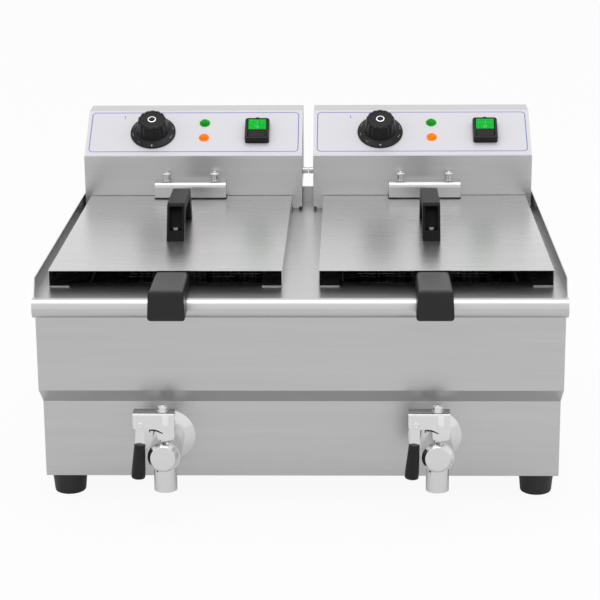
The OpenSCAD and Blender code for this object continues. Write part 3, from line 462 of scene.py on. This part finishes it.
for side, w in SIDES:
    x = tap_x[w]
    front = PANEL_Y - 44 * MM
    bm = bmesh.new()
    loops = [[Vector((x + u * MM, front + y * MM, LEVER_Z + z * MM)) for y, z in lever_section(u, reach)]
             for u, reach in LEVER_COLUMNS]
    loft(bm, loops)
    bmesh.ops.recalc_face_normals(bm, faces=bm.faces)
    for face in bm.faces:
        # faces that look up take the darker plate, as painted shade
        face.material_index = int(face.normal.z > 0.8)
    bmesh_piece("lever_plate_" + w, bm, "tap_" + w, lever_metal, lever_top_shade, stands_for=("tap_lever_" + w,), smooth=40)

    # a dark tube along the slit where the hood is folded off the wing: painted shadow, not a cut in the plate
    bm = bmesh.new()
    slit = [(-13.0, -20.6, 0.2), (-13.8, -18.6, 0.2), (-10, -18.5, 0.2), (-6.2, -19.0, 0.1), (-4.4, -19.6, 0.5),
            (-2.0, -20.3, 1.2), (0.6, -21.0, 2.3)]
    tube(bm, [(x + u * MM, front - out * MM, LEVER_Z + v * MM) for u, v, out in slit], 0.7 * MM, sides=6)
    bmesh_piece("lever_slit_" + w, bm, "tap_" + w, slit_painted_shadow)

    # stem nut with its round seat, and the rivet
    bm = bmesh.new()
    at_stem = Matrix.Translation((x, PANEL_Y - 35 * MM, LEVER_Z))
    lathe(bm, eased([(0, 0, 0), (6.4 * MM, 0, 0), (6.4 * MM, 1.2 * MM, 0.3 * MM), (5.4 * MM, 1.4 * MM, 0.1 * MM),
                     (5.4 * MM, 6.2 * MM, 0.9 * MM), (3.4 * MM, 6.6 * MM, 0.2 * MM), (3.0 * MM, 7.0 * MM, 0.3 * MM),
                     (0, 7.0 * MM, 0)], 0), at_stem, 36)
    at_rivet = facing_front(x - 23 * MM, -44 * MM, RIVET_Z)
    lathe(bm, eased([(0, -4.5 * MM, 0), (2.5 * MM, -4.5 * MM, 0), (2.5 * MM, 0, 0), (3.7 * MM, 0, 0.1 * MM),
                     (3.5 * MM, 1.0 * MM, 0.6 * MM), (1.6 * MM, 1.5 * MM, 0.2 * MM), (1.2 * MM, 1.0 * MM, 0.2 * MM),
                     (0, 1.0 * MM, 0)], 0), at_rivet, 32)
    bmesh_piece("lever_hardware_" + w, bm, "tap_" + w, nut_metal, stands_for=("lever_fixings_" + w,))

    # folding handle: flat link and rubber sleeve, hanging with a slight outward lean
    hang = (Matrix.Translation((x - 23 * MM, PANEL_Y - 41.7 * MM, RIVET_Z)) @ Matrix.Rotation(radians(4), 4, "Y"))
    bm = bmesh.new()
    strip = [(5 * cos(radians(a)), 5 * sin(radians(a))) for a in range(0, 181, 15)]
    strip += [(-5, -22), (-3.8, -23), (-3.8, -56), (3.8, -56), (3.8, -23), (5, -22)]
    front_face = [Vector((u * MM, 0, v * MM)) for u, v in strip]
    back_face = [p + Vector((0, 2 * MM, 0)) for p in front_face]
    loft(bm, [list(reversed(front_face)), list(reversed(back_face))])
    sharp = [e for e in bm.edges if e.is_manifold and e.calc_face_angle(0) > radians(60)]
    bmesh.ops.bevel(bm, geom=sharp, offset=0.4 * MM, offset_type="OFFSET", segments=2, profile=0.5,
                    affect="EDGES", clamp_overlap=True, material=-1)
    bmesh.ops.recalc_face_normals(bm, faces=bm.faces)
    bmesh.ops.transform(bm, matrix=hang, verts=bm.verts)
    bmesh_piece("handle_link_" + w, bm, "arm_" + w, lever_metal, stands_for=("lever_arm_" + w,))

    bm = bmesh.new()
    sleeve = eased([(0, -60 * MM, 0), (7.45 * MM, -60 * MM, 2.4 * MM), (7.45 * MM, -52 * MM, 4 * MM),
                    (5.9 * MM, -25 * MM, 4 * MM), (5.8 * MM, -22 * MM, 0.7 * MM), (0, -22 * MM, 0)], 0, 5)
    lathe(bm, sleeve, hang @ Matrix.Translation((0, 1 * MM, 0)), 40)
    bmesh_piece("handle_sleeve_" + w, bm, "arm_" + w, sleeve_rubber, stands_for=("lever_grip_" + w,))

# ---- Control heads ----
# Folded stainless boxes that stand on the deck behind each lid. The slanted front carries a printed
# film; the box is closed from below and behind by a bent cover with vent slots.
head_x = {w: middle("head_cover_" + w).x for _, w in SIDES}
HEAD_FRONT, HEAD_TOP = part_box("head_shell_left")[0][1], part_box("head_shell_left")[1][2]
PANEL_RISE, PANEL_RUN = 45 * MM, 68 * MM
PANEL_LOW = Vector((0, HEAD_FRONT, HEAD_TOP - PANEL_RISE))
PANEL_TILT = atan2(PANEL_RISE, PANEL_RUN)
head_steel = sheet_metal("brushed_head", 0.58, 0.30)
cover_steel = sheet_metal("brushed_cover", 0.60, 0.34)
for side, w in SIDES:
    dressed("head_shell_" + w, "head_" + w, head_steel, bevel=0.7 * MM)
    dressed("head_cover_" + w, "head_" + w, cover_steel, bevel=0.3 * MM)


def on_panel(w, across, up, out=0.0):
    """Places a piece on a head's slanted panel: x across, y up the slope, z out of it, in millimetres."""
    return (Matrix.Translation(PANEL_LOW + Vector((head_x[w], 0, 0))) @ Matrix.Rotation(PANEL_TILT, 4, "X")
            @ Matrix.Translation((across * MM, up * MM, out * MM)))


# The printed film: satin pale lilac-grey, with one thin blue line round it, inset with round corners.
film = Material("panel_film", metallic=0.0, coat_weight=0.15, coat_roughness=0.2)
spot = film.node("ShaderNodeUVMap", 0, uv_map="film")
axes = film.tree.nodes.new("ShaderNodeSeparateXYZ")
film.tree.links.new(spot.socket, axes.inputs[0])
u, v = Value(film, axes.outputs[0]), Value(film, axes.outputs[1])
LINE_W, LINE_L, LINE_R, LINE_T = 130.5 * MM, 34.8 * MM, 5 * MM, 0.42 * MM
dx = (abs(u) - (LINE_W - LINE_R)).max(0.0)
dy = (abs(v) - (LINE_L - LINE_R)).max(0.0)
edge = abs((dx * dx + dy * dy) ** 0.5 - LINE_R)
inside = (abs(u) - (LINE_W - LINE_R)).max(abs(v) - (LINE_L - LINE_R))
line = (1.0 - (edge - LINE_T).ramp(0.0, 0.3 * MM)) * (inside > 0.0)
film_fine = film.noise(film.place(), 1600.0, 2.0, 0.5)
film_base = film.blend(film_fine, (0.70, 0.69, 0.735, 1), (0.73, 0.72, 0.765, 1))
film.feed(
    base_color=film.blend(line, film_base, (0.13, 0.16, 0.52, 1)),
    roughness=film_fine * 0.08 + 0.34,
    normal=film.bump(film_fine, 0.04, 0.0001),
)
print_blue = moulded("print_blue", (0.10, 0.12, 0.42), 0.45, 900.0, 0.05)

for side, w in SIDES:
    bm = bmesh.new()
    loops = [[Vector(p) for p in rounded(269.6 * MM, 80.2 * MM, 1.2 * MM, z * MM)] for z in (0.02, 0.22)]
    loft(bm, loops)
    layer = bm.loops.layers.uv.new("film")
    for face in bm.faces:
        for loop in face.loops:
            loop[layer].uv = loop.vert.co.xy - Vector((0, 1.6 * MM))
    bmesh.ops.transform(bm, matrix=on_panel(w, 0, 40.7), verts=bm.verts)
    bmesh_piece("panel_film_" + w, bm, "head_" + w, film.data)

    # the short tick that the dial is read against
    bm = bmesh.new()
    loft(bm, [rounded(0.9 * MM, 4.6 * MM, 0.2 * MM, z * MM, 2) for z in (0.2, 0.3)])
    bmesh.ops.transform(bm, matrix=on_panel(w, -89, 69), verts=bm.verts)
    bmesh_piece("dial_tick_" + w, bm, "head_" + w, print_blue)

# ---- Thermostat knobs ----
# A black phenolic knob with a fluted body on a conical skirt; white figures and a pointer are printed
# on the skirt, and a disc with a pale ring is let into the top.
knob_black = moulded("knob_black", (0.004, 0.004, 0.0045), 0.30, 500.0, 0.12, 0.22)
print_white = moulded("print_white", (0.50, 0.50, 0.50), 0.5, 900.0, 0.05)
disc_pale = plated("disc_pale", 0.80, 0.35)
FLUTES = 14
SKIRT_R, BODY_R, BODY_TOP_R, KNOB_H = 28.35 * MM, 20.5 * MM, 17.4 * MM, 24 * MM
skirt_slope = atan2(2.6, 7.85)


def at_knob(w):
    return on_panel(w, -52, 41)


def skirt_height(r):
    """Height of the skirt's conical face at the radius r."""
    return (2.4 * MM) + (SKIRT_R - 0.6 * MM - r) * sin(skirt_slope) / cos(skirt_slope)


for side, w in SIDES:
    bm = bmesh.new()
    lathe(bm, eased([(6 * MM, 0.3 * MM, 0), (SKIRT_R, 0.3 * MM, 0.3 * MM), (SKIRT_R, 2.2 * MM, 0.7 * MM),
                     (BODY_R + 0.3 * MM, 5.1 * MM, 0.8 * MM), (BODY_R - 1 * MM, 6.2 * MM, 0)], 0), at_knob(w), 96)
    body = eased([(19.4 * MM, 4.4 * MM, 0), (BODY_R, 5.4 * MM, 0.5 * MM), (BODY_TOP_R, KNOB_H - 1.2 * MM, 1.6 * MM),
                  (BODY_TOP_R - 3.4 * MM, KNOB_H, 0.8 * MM), (BODY_TOP_R - 4.4 * MM, KNOB_H - 0.7 * MM, 0.4 * MM),
                  (5.9 * MM, KNOB_H - 0.6 * MM, 0)], 0, 5)
    rings = []
    count = FLUTES * 10
    for r, z in body:
        fade = min(1.0, max(0.0, (r - 13.6 * MM) / (3.2 * MM)))
        rings.append([Vector((rr * cos(a), rr * sin(a), z)) for a in [2 * pi * k / count for k in range(count)]
                      for rr in [r * (1 - 0.05 * fade * (0.5 + 0.5 * cos(FLUTES * a)) ** 2)]])
    _, faces = loft(bm, rings, cap_start=False, cap_end=True)
    verts = list({v for f in faces for v in f.verts})
    bmesh.ops.transform(bm, matrix=at_knob(w), verts=verts)
    bmesh_piece("dial_knob_" + w, bm, "knob_" + w, knob_black, stands_for=("knob_" + w,), smooth=50)

    bm = bmesh.new()
    lathe(bm, [(0, KNOB_H - 0.9 * MM), (5.7 * MM, KNOB_H - 0.9 * MM), (5.7 * MM, KNOB_H - 0.2 * MM),
               (5.2 * MM, KNOB_H - 0.1 * MM)], at_knob(w), 40)
    lathe(bm, [(5.2 * MM, KNOB_H - 0.1 * MM), (4.9 * MM, KNOB_H), (4.0 * MM, KNOB_H), (3.8 * MM, KNOB_H - 0.3 * MM)],
          at_knob(w), 40, 1)
    lathe(bm, [(3.8 * MM, KNOB_H - 0.3 * MM), (0, KNOB_H - 0.3 * MM)], at_knob(w), 40)
    bmesh_piece("knob_disc_" + w, bm, "knob_" + w, knob_black, disc_pale)

    # pointer and figures, each laid on the skirt's cone
    bm = bmesh.new()
    arrow = [(-0.45, 0), (0.45, 0), (0.45, 3.4), (1.5, 3.4), (0, 6.4), (-1.5, 3.4), (-0.45, 3.4)]
    lie = (at_knob(w) @ Matrix.Rotation(pi, 4, "Z")
           @ Matrix.Translation((0, 21 * MM, skirt_height(21 * MM) + 0.06 * MM))
           @ Matrix.Rotation(-skirt_slope, 4, "X"))
    base = [Vector((a * MM, b * MM, 0)) for a, b in arrow]
    loft(bm, [base, [p + Vector((0, 0, 0.12 * MM)) for p in base]])
    bmesh.ops.transform(bm, matrix=lie, verts=bm.verts)
    for k, label in enumerate(("60", "80", "100", "120", "140", "160", "180", "200")):
        turn = radians(140 - 36 * k)
        curve = bpy.data.curves.new("figure", "FONT")
        curve.body, curve.size, curve.align_x, curve.align_y = label, 3.8 * MM, "CENTER", "CENTER"
        curve.extrude = 0.06 * MM
        text = bpy.data.objects.new("figure", curve)
        mesh = bpy.data.meshes.new_from_object(text)
        lie = (at_knob(w) @ Matrix.Rotation(turn, 4, "Z")
               @ Matrix.Translation((0, 24.3 * MM, skirt_height(24.3 * MM) + 0.1 * MM))
               @ Matrix.Rotation(-skirt_slope, 4, "X"))
        mesh.transform(lie)
        bm.from_mesh(mesh)
        bpy.data.objects.remove(text)
        bpy.data.meshes.remove(mesh)
        bpy.data.curves.remove(curve)
    bmesh_piece("skirt_print_" + w, bm, "knob_" + w, print_white)

# ---- Indicator lamps ----
# Domed lenses with a flange, pushed through the film from the front: green for mains and amber for
# heating, ribbed inside to spread the light.


def lens(name, dark, bright, glow):
    """A clear coloured moulding, mottled by the ribs behind its face and lit a little from within."""
    mat = Material(name, specular_ior_level=0.12, emission_strength=glow)
    ribs = mat.noise(mat.place(), 420.0, 2.0, 0.5)
    tone = mat.blend(ribs.ramp(0.35, 0.65), (*bright, 1), (*dark, 1))
    return mat.feed(base_color=tone, emission_color=tone, roughness=ribs * 0.12 + 0.20,
                    normal=mat.bump(ribs, 0.2, 0.0003))


green_lens = lens("green_lens", (0.0, 0.18, 0.0), (0.0, 0.34, 0.01), 0.3)
amber_lens = lens("amber_lens", (0.78, 0.13, 0.0), (1.0, 0.25, 0.0), 0.35)
lamp_outline = eased([(0, 0.1 * MM, 0), (6.5 * MM, 0.1 * MM, 0), (6.5 * MM, 1.1 * MM, 0.5 * MM),
                      (5.3 * MM, 1.4 * MM, 0.2 * MM), (5.0 * MM, 2.4 * MM, 0.6 * MM),
                      (3.4 * MM, 4.2 * MM, 1.4 * MM), (0, 4.5 * MM, 0)], 0)
for side, w in SIDES:
    for colour, up, mat in (("green", 58, green_lens), ("amber", 32, amber_lens)):
        bm = bmesh.new()
        lathe(bm, lamp_outline, on_panel(w, 12.3, up), 40)
        lathe(bm, [(5 * MM, 0), (5 * MM, -19 * MM), (0, -19 * MM)], on_panel(w, 12.3, up), 24)
        bmesh_piece(f"{colour}_lamp_{w}", bm, "head_" + w, mat, stands_for=(f"lamp_{colour}_{w}",))

# ---- Rocker switches ----
# A splash-guarded rocker: a deep black frame with round corners round a key whose upper half is a
# lit green lens, marked I and O, and whose lower half is ribbed black.
switch_black = moulded("switch_black", (0.006, 0.006, 0.006), 0.30, 600.0, 0.10)
key_green = lens("key_green", (0.0, 0.29, 0.015), (0.0, 0.45, 0.03), 0.45)


def at_switch(w, out=0.0):
    return on_panel(w, 79, 40.4, out)


mark_pale = moulded("mark_pale", (0.12, 0.60, 0.18), 0.4, 900.0, 0.05)

for side, w in SIDES:
    bm = bmesh.new()
    loops = []
    for grow, z in ((0, 0.1), (0, 7.6), (-0.5, 8.6), (-1.3, 9.0)):
        loops.append(rounded((30.5 + grow) * MM, (37 + grow) * MM, 3.2 * MM, z * MM))
    for grow, z in ((1.2, 9.0), (0.3, 8.5), (0, 7.8), (0, -3)):
        loops.append(rounded((23 + grow) * MM, (30.5 + grow) * MM, 1.6 * MM, z * MM))
    loft(bm, loops, cap_start=False, cap_end=False)
    loft(bm, [rounded(5 * MM * s, 2.6 * MM * s, 1.2 * MM * s, z * MM, 4, 0, 17.1 * MM)
                    for z, s in ((8.6, 1.0), (9.5, 0.95), (9.9, 0.7))])
    floor_z = -3 * MM
    loft(bm, [rounded(23 * MM, 30.5 * MM, 1.6 * MM, z) for z in (floor_z - 0.5 * MM, floor_z)])
    loft(bm, [rounded(25.6 * MM, 33.1 * MM, 1.6 * MM, z * MM) for z in (-20, -0.5)])
    bmesh.ops.transform(bm, matrix=at_switch(w), verts=bm.verts)
    bmesh_piece("switch_frame_" + w, bm, "head_" + w, switch_black, stands_for=("rocker_frame_" + w,))

    tilt = at_switch(w, 5) @ Matrix.Rotation(radians(9), 4, "X")
    bm = bmesh.new()
    half = 13.75
    low = [(-0.2, 2.2), (-1.6, 2.5), (-2.1, 3.3), (-2.9, 3.3), (-3.4, 2.7), (-5.0, 3.0), (-5.5, 3.8), (-6.3, 3.8),
           (-6.8, 3.2), (-8.4, 3.5), (-8.9, 4.3), (-9.7, 4.3), (-10.2, 3.8), (-12.2, 4.7), (-half, 4.3)]
    green_part = [(0.0, -6), (13.2, -6), (half, 4.3), (12.9, 4.9), (11.3, 5.0), (5.5, 3.4), (0.0, 2.5)]
    black_part = [(-13.2, -6), (-0.05, -6), (-0.05, 2.4)] + low[1:]
    for outline, index in ((green_part, 0), (black_part, 1)):
        left = [Vector((-11 * MM, a * MM, b * MM)) for a, b in outline]
        right = [Vector((11 * MM, a * MM, b * MM)) for a, b in outline]
        loft(bm, [right, left], material=index)
    bmesh.ops.recalc_face_normals(bm, faces=bm.faces)
    sharp = [e for e in bm.edges if e.is_manifold and e.calc_face_angle(0) > radians(50)]
    bmesh.ops.bevel(bm, geom=sharp, offset=0.35 * MM, offset_type="OFFSET", segments=2, profile=0.5,
                    affect="EDGES", clamp_overlap=True, material=-1)
    bmesh.ops.transform(bm, matrix=tilt, verts=bm.verts)
    bmesh_piece("switch_key_" + w, bm, "rocker_" + w, key_green, switch_black, stands_for=("rocker_key_" + w,))

    bm = bmesh.new()
    slope = atan2(1.6, 5.1)
    lie = tilt @ Matrix.Translation((0, 8.7 * MM, 4.45 * MM)) @ Matrix.Rotation(slope, 4, "X")
    loft(bm, [rounded(0.9 * MM, 3.2 * MM, 0.3 * MM, z * MM, 2) for z in (-0.1, 0.12)])
    bmesh.ops.transform(bm, matrix=lie, verts=bm.verts)
    ring = [(1.9 * MM, -0.1 * MM), (1.9 * MM, 0.12 * MM), (1.2 * MM, 0.12 * MM), (1.2 * MM, -0.1 * MM),
            (1.9 * MM, -0.1 * MM)]
    lathe(bm, ring, tilt @ Matrix.Translation((0, 3.4 * MM, 3.15 * MM)) @ Matrix.Rotation(slope * 0.7, 4, "X"), 24)
    bmesh_piece("switch_marks_" + w, bm, "rocker_" + w, mark_pale)

# ---- Hanger bars ----
# A small steel channel on each head's face, over the lid's rear edge, with two headed pins on which a
# lifted basket's frame drains.
bar_steel = sheet_metal("brushed_bar", 0.58, 0.26)
pin_chrome = plated("pin_chrome", 0.66, 0.12)
# a pin's half outline: radius, height over the bar, round of that corner
PIN_OUTLINE = ((0, -6, 0), (2.5, -6, 0), (2.5, 0, 0), (4.6, 0, 0.1), (4.6, 0.8, 0.2), (3.35, 1.2, 0.3),
               (3.35, 7.4, 0.6), (6.5, 8.8, 0.7), (6.0, 10.6, 1.2), (2.6, 11.9, 0.6), (2.0, 10.8, 0.3), (0, 10.8, 0))
for side, w in SIDES:
    dressed("hanger_bar_" + w, "head_" + w, bar_steel, bevel=0.5 * MM)
    bm = bmesh.new()
    bar, bar_top = middle("hanger_bar_" + w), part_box("hanger_bar_" + w)[1][2]
    for x in (-30 * MM, 30 * MM):
        at = Matrix.Translation((bar.x + x, bar.y, bar_top))
        lathe(bm, eased([(a * MM, b * MM, c * MM) for a, b, c in PIN_OUTLINE], 0), at, 40)
    bmesh_piece("hanger_pin_pair_" + w, bm, "head_" + w, pin_chrome, stands_for=("hanger_pins_" + w,))

# ---- Inside the heads ----
# Sheathed heating elements with their brass capillary thermostats, and the bought-in parts behind the
# vent slots: ceramic terminals, cable gland, reset button, and the taps' seats and balls.
element_dark = plated("element_sheath", 0.16, 0.48)
thermo_brass = Material("thermo_brass", metallic=1.0)
tarnish = thermo_brass.noise(thermo_brass.place(), 60.0, 4.0, 0.6)
thermo_brass.feed(base_color=thermo_brass.blend(tarnish, (0.50, 0.40, 0.22, 1), (0.72, 0.60, 0.36, 1)),
                  roughness=tarnish * 0.2 + 0.26)
ceramic = moulded("glazed_ceramic", (0.70, 0.67, 0.60), 0.35, 300.0, 0.05)
reset_red = moulded("reset_red", (0.50, 0.02, 0.015), 0.35, 600.0, 0.05)
gland_black = moulded("gland_black", (0.02, 0.02, 0.02), 0.5, 700.0, 0.15)
seat_white = moulded("seat_white", (0.80, 0.80, 0.78), 0.5, 700.0, 0.05)
dressed("valve_seats", "fryer_base", seat_white)
for side, w in SIDES:
    dressed("element_" + w, "head_" + w, element_dark)
    dressed("thermostat_" + w, "head_" + w, thermo_brass.data, bevel=0.3 * MM)
    dressed("terminal_block_" + w, "head_" + w, ceramic, bevel=0.5 * MM)
    dressed("cable_gland_" + w, "head_" + w, gland_black, bevel=0.4 * MM)
    dressed("reset_button_" + w, "reset_" + w, reset_red, bevel=0.6 * MM)
    dressed("valve_ball_" + w, "tap_" + w, pin_chrome)

# ---- Baskets ----
# Chromed wire: a heavy rim, waist and foot ring, and a fine mesh of crossing wires. Two rods run up
# the front and forward under the lid into a moulded black grip.
basket_x = {w: middle("basket_" + w).x for _, w in SIDES}
wire_chrome = plated("basket_wire", 0.62, 0.22)
grip_black = moulded("grip_black", (0.012, 0.012, 0.012), 0.34, 420.0, 0.35, 0.3)
BASKET_L, BASKET_W, BASKET_H = 290 * MM, 200 * MM, 124 * MM
BASKET_FRONT, BASKET_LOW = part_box("basket_left")[1][1] - BASKET_L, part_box("basket_left")[0][2]
BASKET_TOP, ROD_Z = BASKET_LOW + BASKET_H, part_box("basket_left")[1][2] - 3 * MM
PITCH = 8.0 * MM
for side, w in SIDES:
    bm = bmesh.new()
    mid = BASKET_FRONT + BASKET_L / 2

    def hoop(z, inset, radius, corner=26 * MM, sides=6):
        loop = rounded(BASKET_W - 2 * inset, BASKET_L - 2 * inset, corner - inset, z, 6, basket_x[w], mid)
        tube(bm, loop, radius, sides, closed=True)

    hoop(BASKET_TOP - 2.5 * MM, 2.5 * MM, 2.5 * MM, sides=8)
    hoop(BASKET_LOW + 2.0 * MM, 3.0 * MM, 2.0 * MM, sides=8)
    hoop((BASKET_LOW + BASKET_TOP) / 2, 1.5 * MM, 1.5 * MM, sides=8)
    rows = int((BASKET_TOP - BASKET_LOW - 8 * MM) / PITCH)
    for k in range(1, rows + 1):
        hoop(BASKET_LOW + 3 * MM + k * PITCH, 3.0 * MM, 0.7 * MM, sides=5)

    def crossing(start, end, floor_z, place):
        """One U-shaped wire up one wall, over the floor and up the other."""
        tube(bm, [place(along, z) for along, z in (
            (start, BASKET_TOP - 3 * MM), (start, floor_z + 6 * MM), (start + 2 * MM, floor_z + 1.5 * MM),
            (start + 6 * MM, floor_z), (end - 6 * MM, floor_z), (end - 2 * MM, floor_z + 1.5 * MM),
            (end, floor_z + 6 * MM), (end, BASKET_TOP - 3 * MM))], 0.7 * MM, 5)

    deep = BASKET_LOW + 1.6 * MM
    nx = int((BASKET_W - 30 * MM) / PITCH / 2)
    for k in range(-nx, nx + 1):
        x = basket_x[w] + k * PITCH
        y0, y1 = BASKET_FRONT + 3.8 * MM, BASKET_FRONT + BASKET_L - 3.8 * MM
        crossing(y0, y1, deep, lambda along, z: (x, along, z))
    ny = int((BASKET_L - 30 * MM) / PITCH / 2)
    for k in range(-ny, ny + 1):
        y = mid + k * PITCH
        x0, x1 = basket_x[w] - BASKET_W / 2 + 3.8 * MM, basket_x[w] + BASKET_W / 2 - 3.8 * MM
        d = deep + 1.2 * MM
        crossing(x0, x1, d, lambda along, z: (along, y, z))
    # the two handle rods, bent over the tank's edge
    for x in (-10, 10):
        rx, y0 = basket_x[w] + x * MM, BASKET_FRONT - 2.5 * MM
        bend = [(rx, y0 - 10 * MM + 10 * MM * cos(a), ROD_Z - 10 * MM + 10 * MM * sin(a))
                for a in [radians(10 * k) for k in range(10)]]
        tube(bm, [(rx, y0, BASKET_TOP - 60 * MM)] + bend + [(rx, PANEL_Y + 14 * MM, ROD_Z)], 3 * MM, 12)
    tube(bm, [(basket_x[w] - 13 * MM, BASKET_FRONT - 2 * MM, BASKET_TOP - 58 * MM),
              (basket_x[w] + 13 * MM, BASKET_FRONT - 2 * MM, BASKET_TOP - 58 * MM)], 2 * MM, 8)
    bmesh_piece("wire_basket_" + w, bm, "basket_" + w, wire_chrome, stands_for=("basket_" + w,), smooth=60)
    dressed("basket_grip_" + w, "basket_" + w, grip_black, bevel=1.6 * MM, segments=4)

# ---- Lids ----
# Folded stainless lids with open fronts, a hem along each lower side and a notch for the hanger bar.
# The moulded handle is bolted through the lid at both feet.
lid_steel = sheet_metal("brushed_lid", 0.62, 0.28)
handle_black = moulded("handle_black", (0.004, 0.004, 0.004), 0.42, 500.0, 0.25, 0.12)
screw_zinc = plated("screw_zinc", 0.35, 0.30)
for side, w in SIDES:
    dressed("lid_" + w, "lid_" + w, lid_steel, bevel=0.3 * MM)
    dressed("lid_handle_" + w, "lid_" + w, handle_black, bevel=1.4 * MM, segments=3)
    dressed("lid_screws_" + w, "lid_" + w, screw_zinc, bevel=0.4 * MM)

# ---- Stage ----
# A pale floor and a white world, both near white to the camera and in reflections, under one plain
# soft lamp. They light the object and are no part of it.
SEEN_FLOOR = {"Is Camera Ray": 0.93, "Is Transmission Ray": 0.93, "Is Glossy Ray": 0.3}
SEEN_WORLD = {"Is Camera Ray": 1.0, "Is Transmission Ray": 1.0, "Is Glossy Ray": 1.0}


def seen(tree, shares):
    """How much of the plain white look a ray gets, by the kind of ray; light that falls on things gets none."""
    path = tree.nodes.new("ShaderNodeLightPath")
    total = None
    for name, share in shares.items():
        step = tree.nodes.new("ShaderNodeMath")
        step.operation = "MULTIPLY_ADD"
        step.use_clamp = True
        tree.links.new(path.outputs[name], step.inputs[0])
        step.inputs[1].default_value = share
        step.inputs[2].default_value = 0.0
        if total:
            tree.links.new(total, step.inputs[2])
        total = step.outputs[0]
    return total


stage = Material("stage_pale", roughness=0.9)
paper = stage.noise(stage.place(), 3.0, 2.0, 0.5)
stage.feed(base_color=stage.blend(paper, grey(0.80), grey(0.82)))
tree = stage.tree
glow = tree.nodes.new("ShaderNodeEmission")
glow.inputs["Strength"].default_value = 1.0
both = tree.nodes.new("ShaderNodeMixShader")
tree.links.new(seen(tree, SEEN_FLOOR), both.inputs[0])
tree.links.new(stage.shader.outputs[0], both.inputs[1])
tree.links.new(glow.outputs[0], both.inputs[2])
tree.links.new(both.outputs[0], tree.nodes["Material Output"].inputs[0])
bm = bmesh.new()
bmesh.ops.create_grid(bm, x_segments=1, y_segments=1, size=6.0)
mesh = bpy.data.meshes.new("floor")
bm.to_mesh(mesh)
bm.free()
mesh.materials.append(stage.data)
floor = bpy.data.objects.new("floor", mesh)
bpy.context.scene.collection.objects.link(floor)
floor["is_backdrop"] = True

world = bpy.data.worlds.new("studio")
bpy.context.scene.world = world
world.use_nodes = True
tree = world.node_tree
background = tree.nodes["Background"]
background.inputs["Color"].default_value = (1, 1, 1, 1)
background.inputs["Strength"].default_value = 0.75
white = tree.nodes.new("ShaderNodeBackground")
white.inputs["Color"].default_value = (1, 1, 1, 1)
white.inputs["Strength"].default_value = 1.0
mixer = tree.nodes.new("ShaderNodeMixShader")
tree.links.new(seen(tree, SEEN_WORLD), mixer.inputs[0])
tree.links.new(background.outputs[0], mixer.inputs[1])
tree.links.new(white.outputs[0], mixer.inputs[2])
tree.links.new(mixer.outputs[0], tree.nodes["World Output"].inputs[0])


def softbox(name, where, target, size, power):
    data = bpy.data.lights.new(name, "AREA")
    data.shape, data.size, data.size_y, data.energy = "RECTANGLE", size[0], size[1], power
    lamp = bpy.data.objects.new(name, data)
    lamp.location = where
    lamp.rotation_mode = "QUATERNION"
    lamp.rotation_quaternion = (Vector(target) - Vector(where)).to_track_quat("-Z", "Y")
    bpy.context.scene.collection.objects.link(lamp)
    return lamp


softbox("top_softbox", (0, -0.2, 2.4), (0, 0, 0.2), (1.8, 1.4), 16)

camera = bpy.data.objects.new("camera", bpy.data.cameras.new("camera"))
camera.data.lens, camera.data.sensor_width = 118.0, 36.0
camera.data.clip_start, camera.data.clip_end = 0.05, 50
pitch, yaw, roll = 0.27229, 0.0269, -0.00766
ahead = Vector((-sin(yaw) * cos(pitch), cos(yaw) * cos(pitch), -sin(pitch)))
right = Vector((cos(yaw), sin(yaw), 0))
up = right.cross(ahead)
right, up = right * cos(roll) + up * sin(roll), up * cos(roll) - right * sin(roll)
eye = Vector((0.0539, PANEL_Y - 1.99118, DECK_Z + 0.55247))
camera.matrix_world = Matrix.Translation(eye) @ Matrix((right, up, -ahead)).transposed().to_4x4()
bpy.context.scene.collection.objects.link(camera)
bpy.context.scene.camera = camera
bpy.context.scene.view_settings.view_transform = "Standard"

low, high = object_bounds()
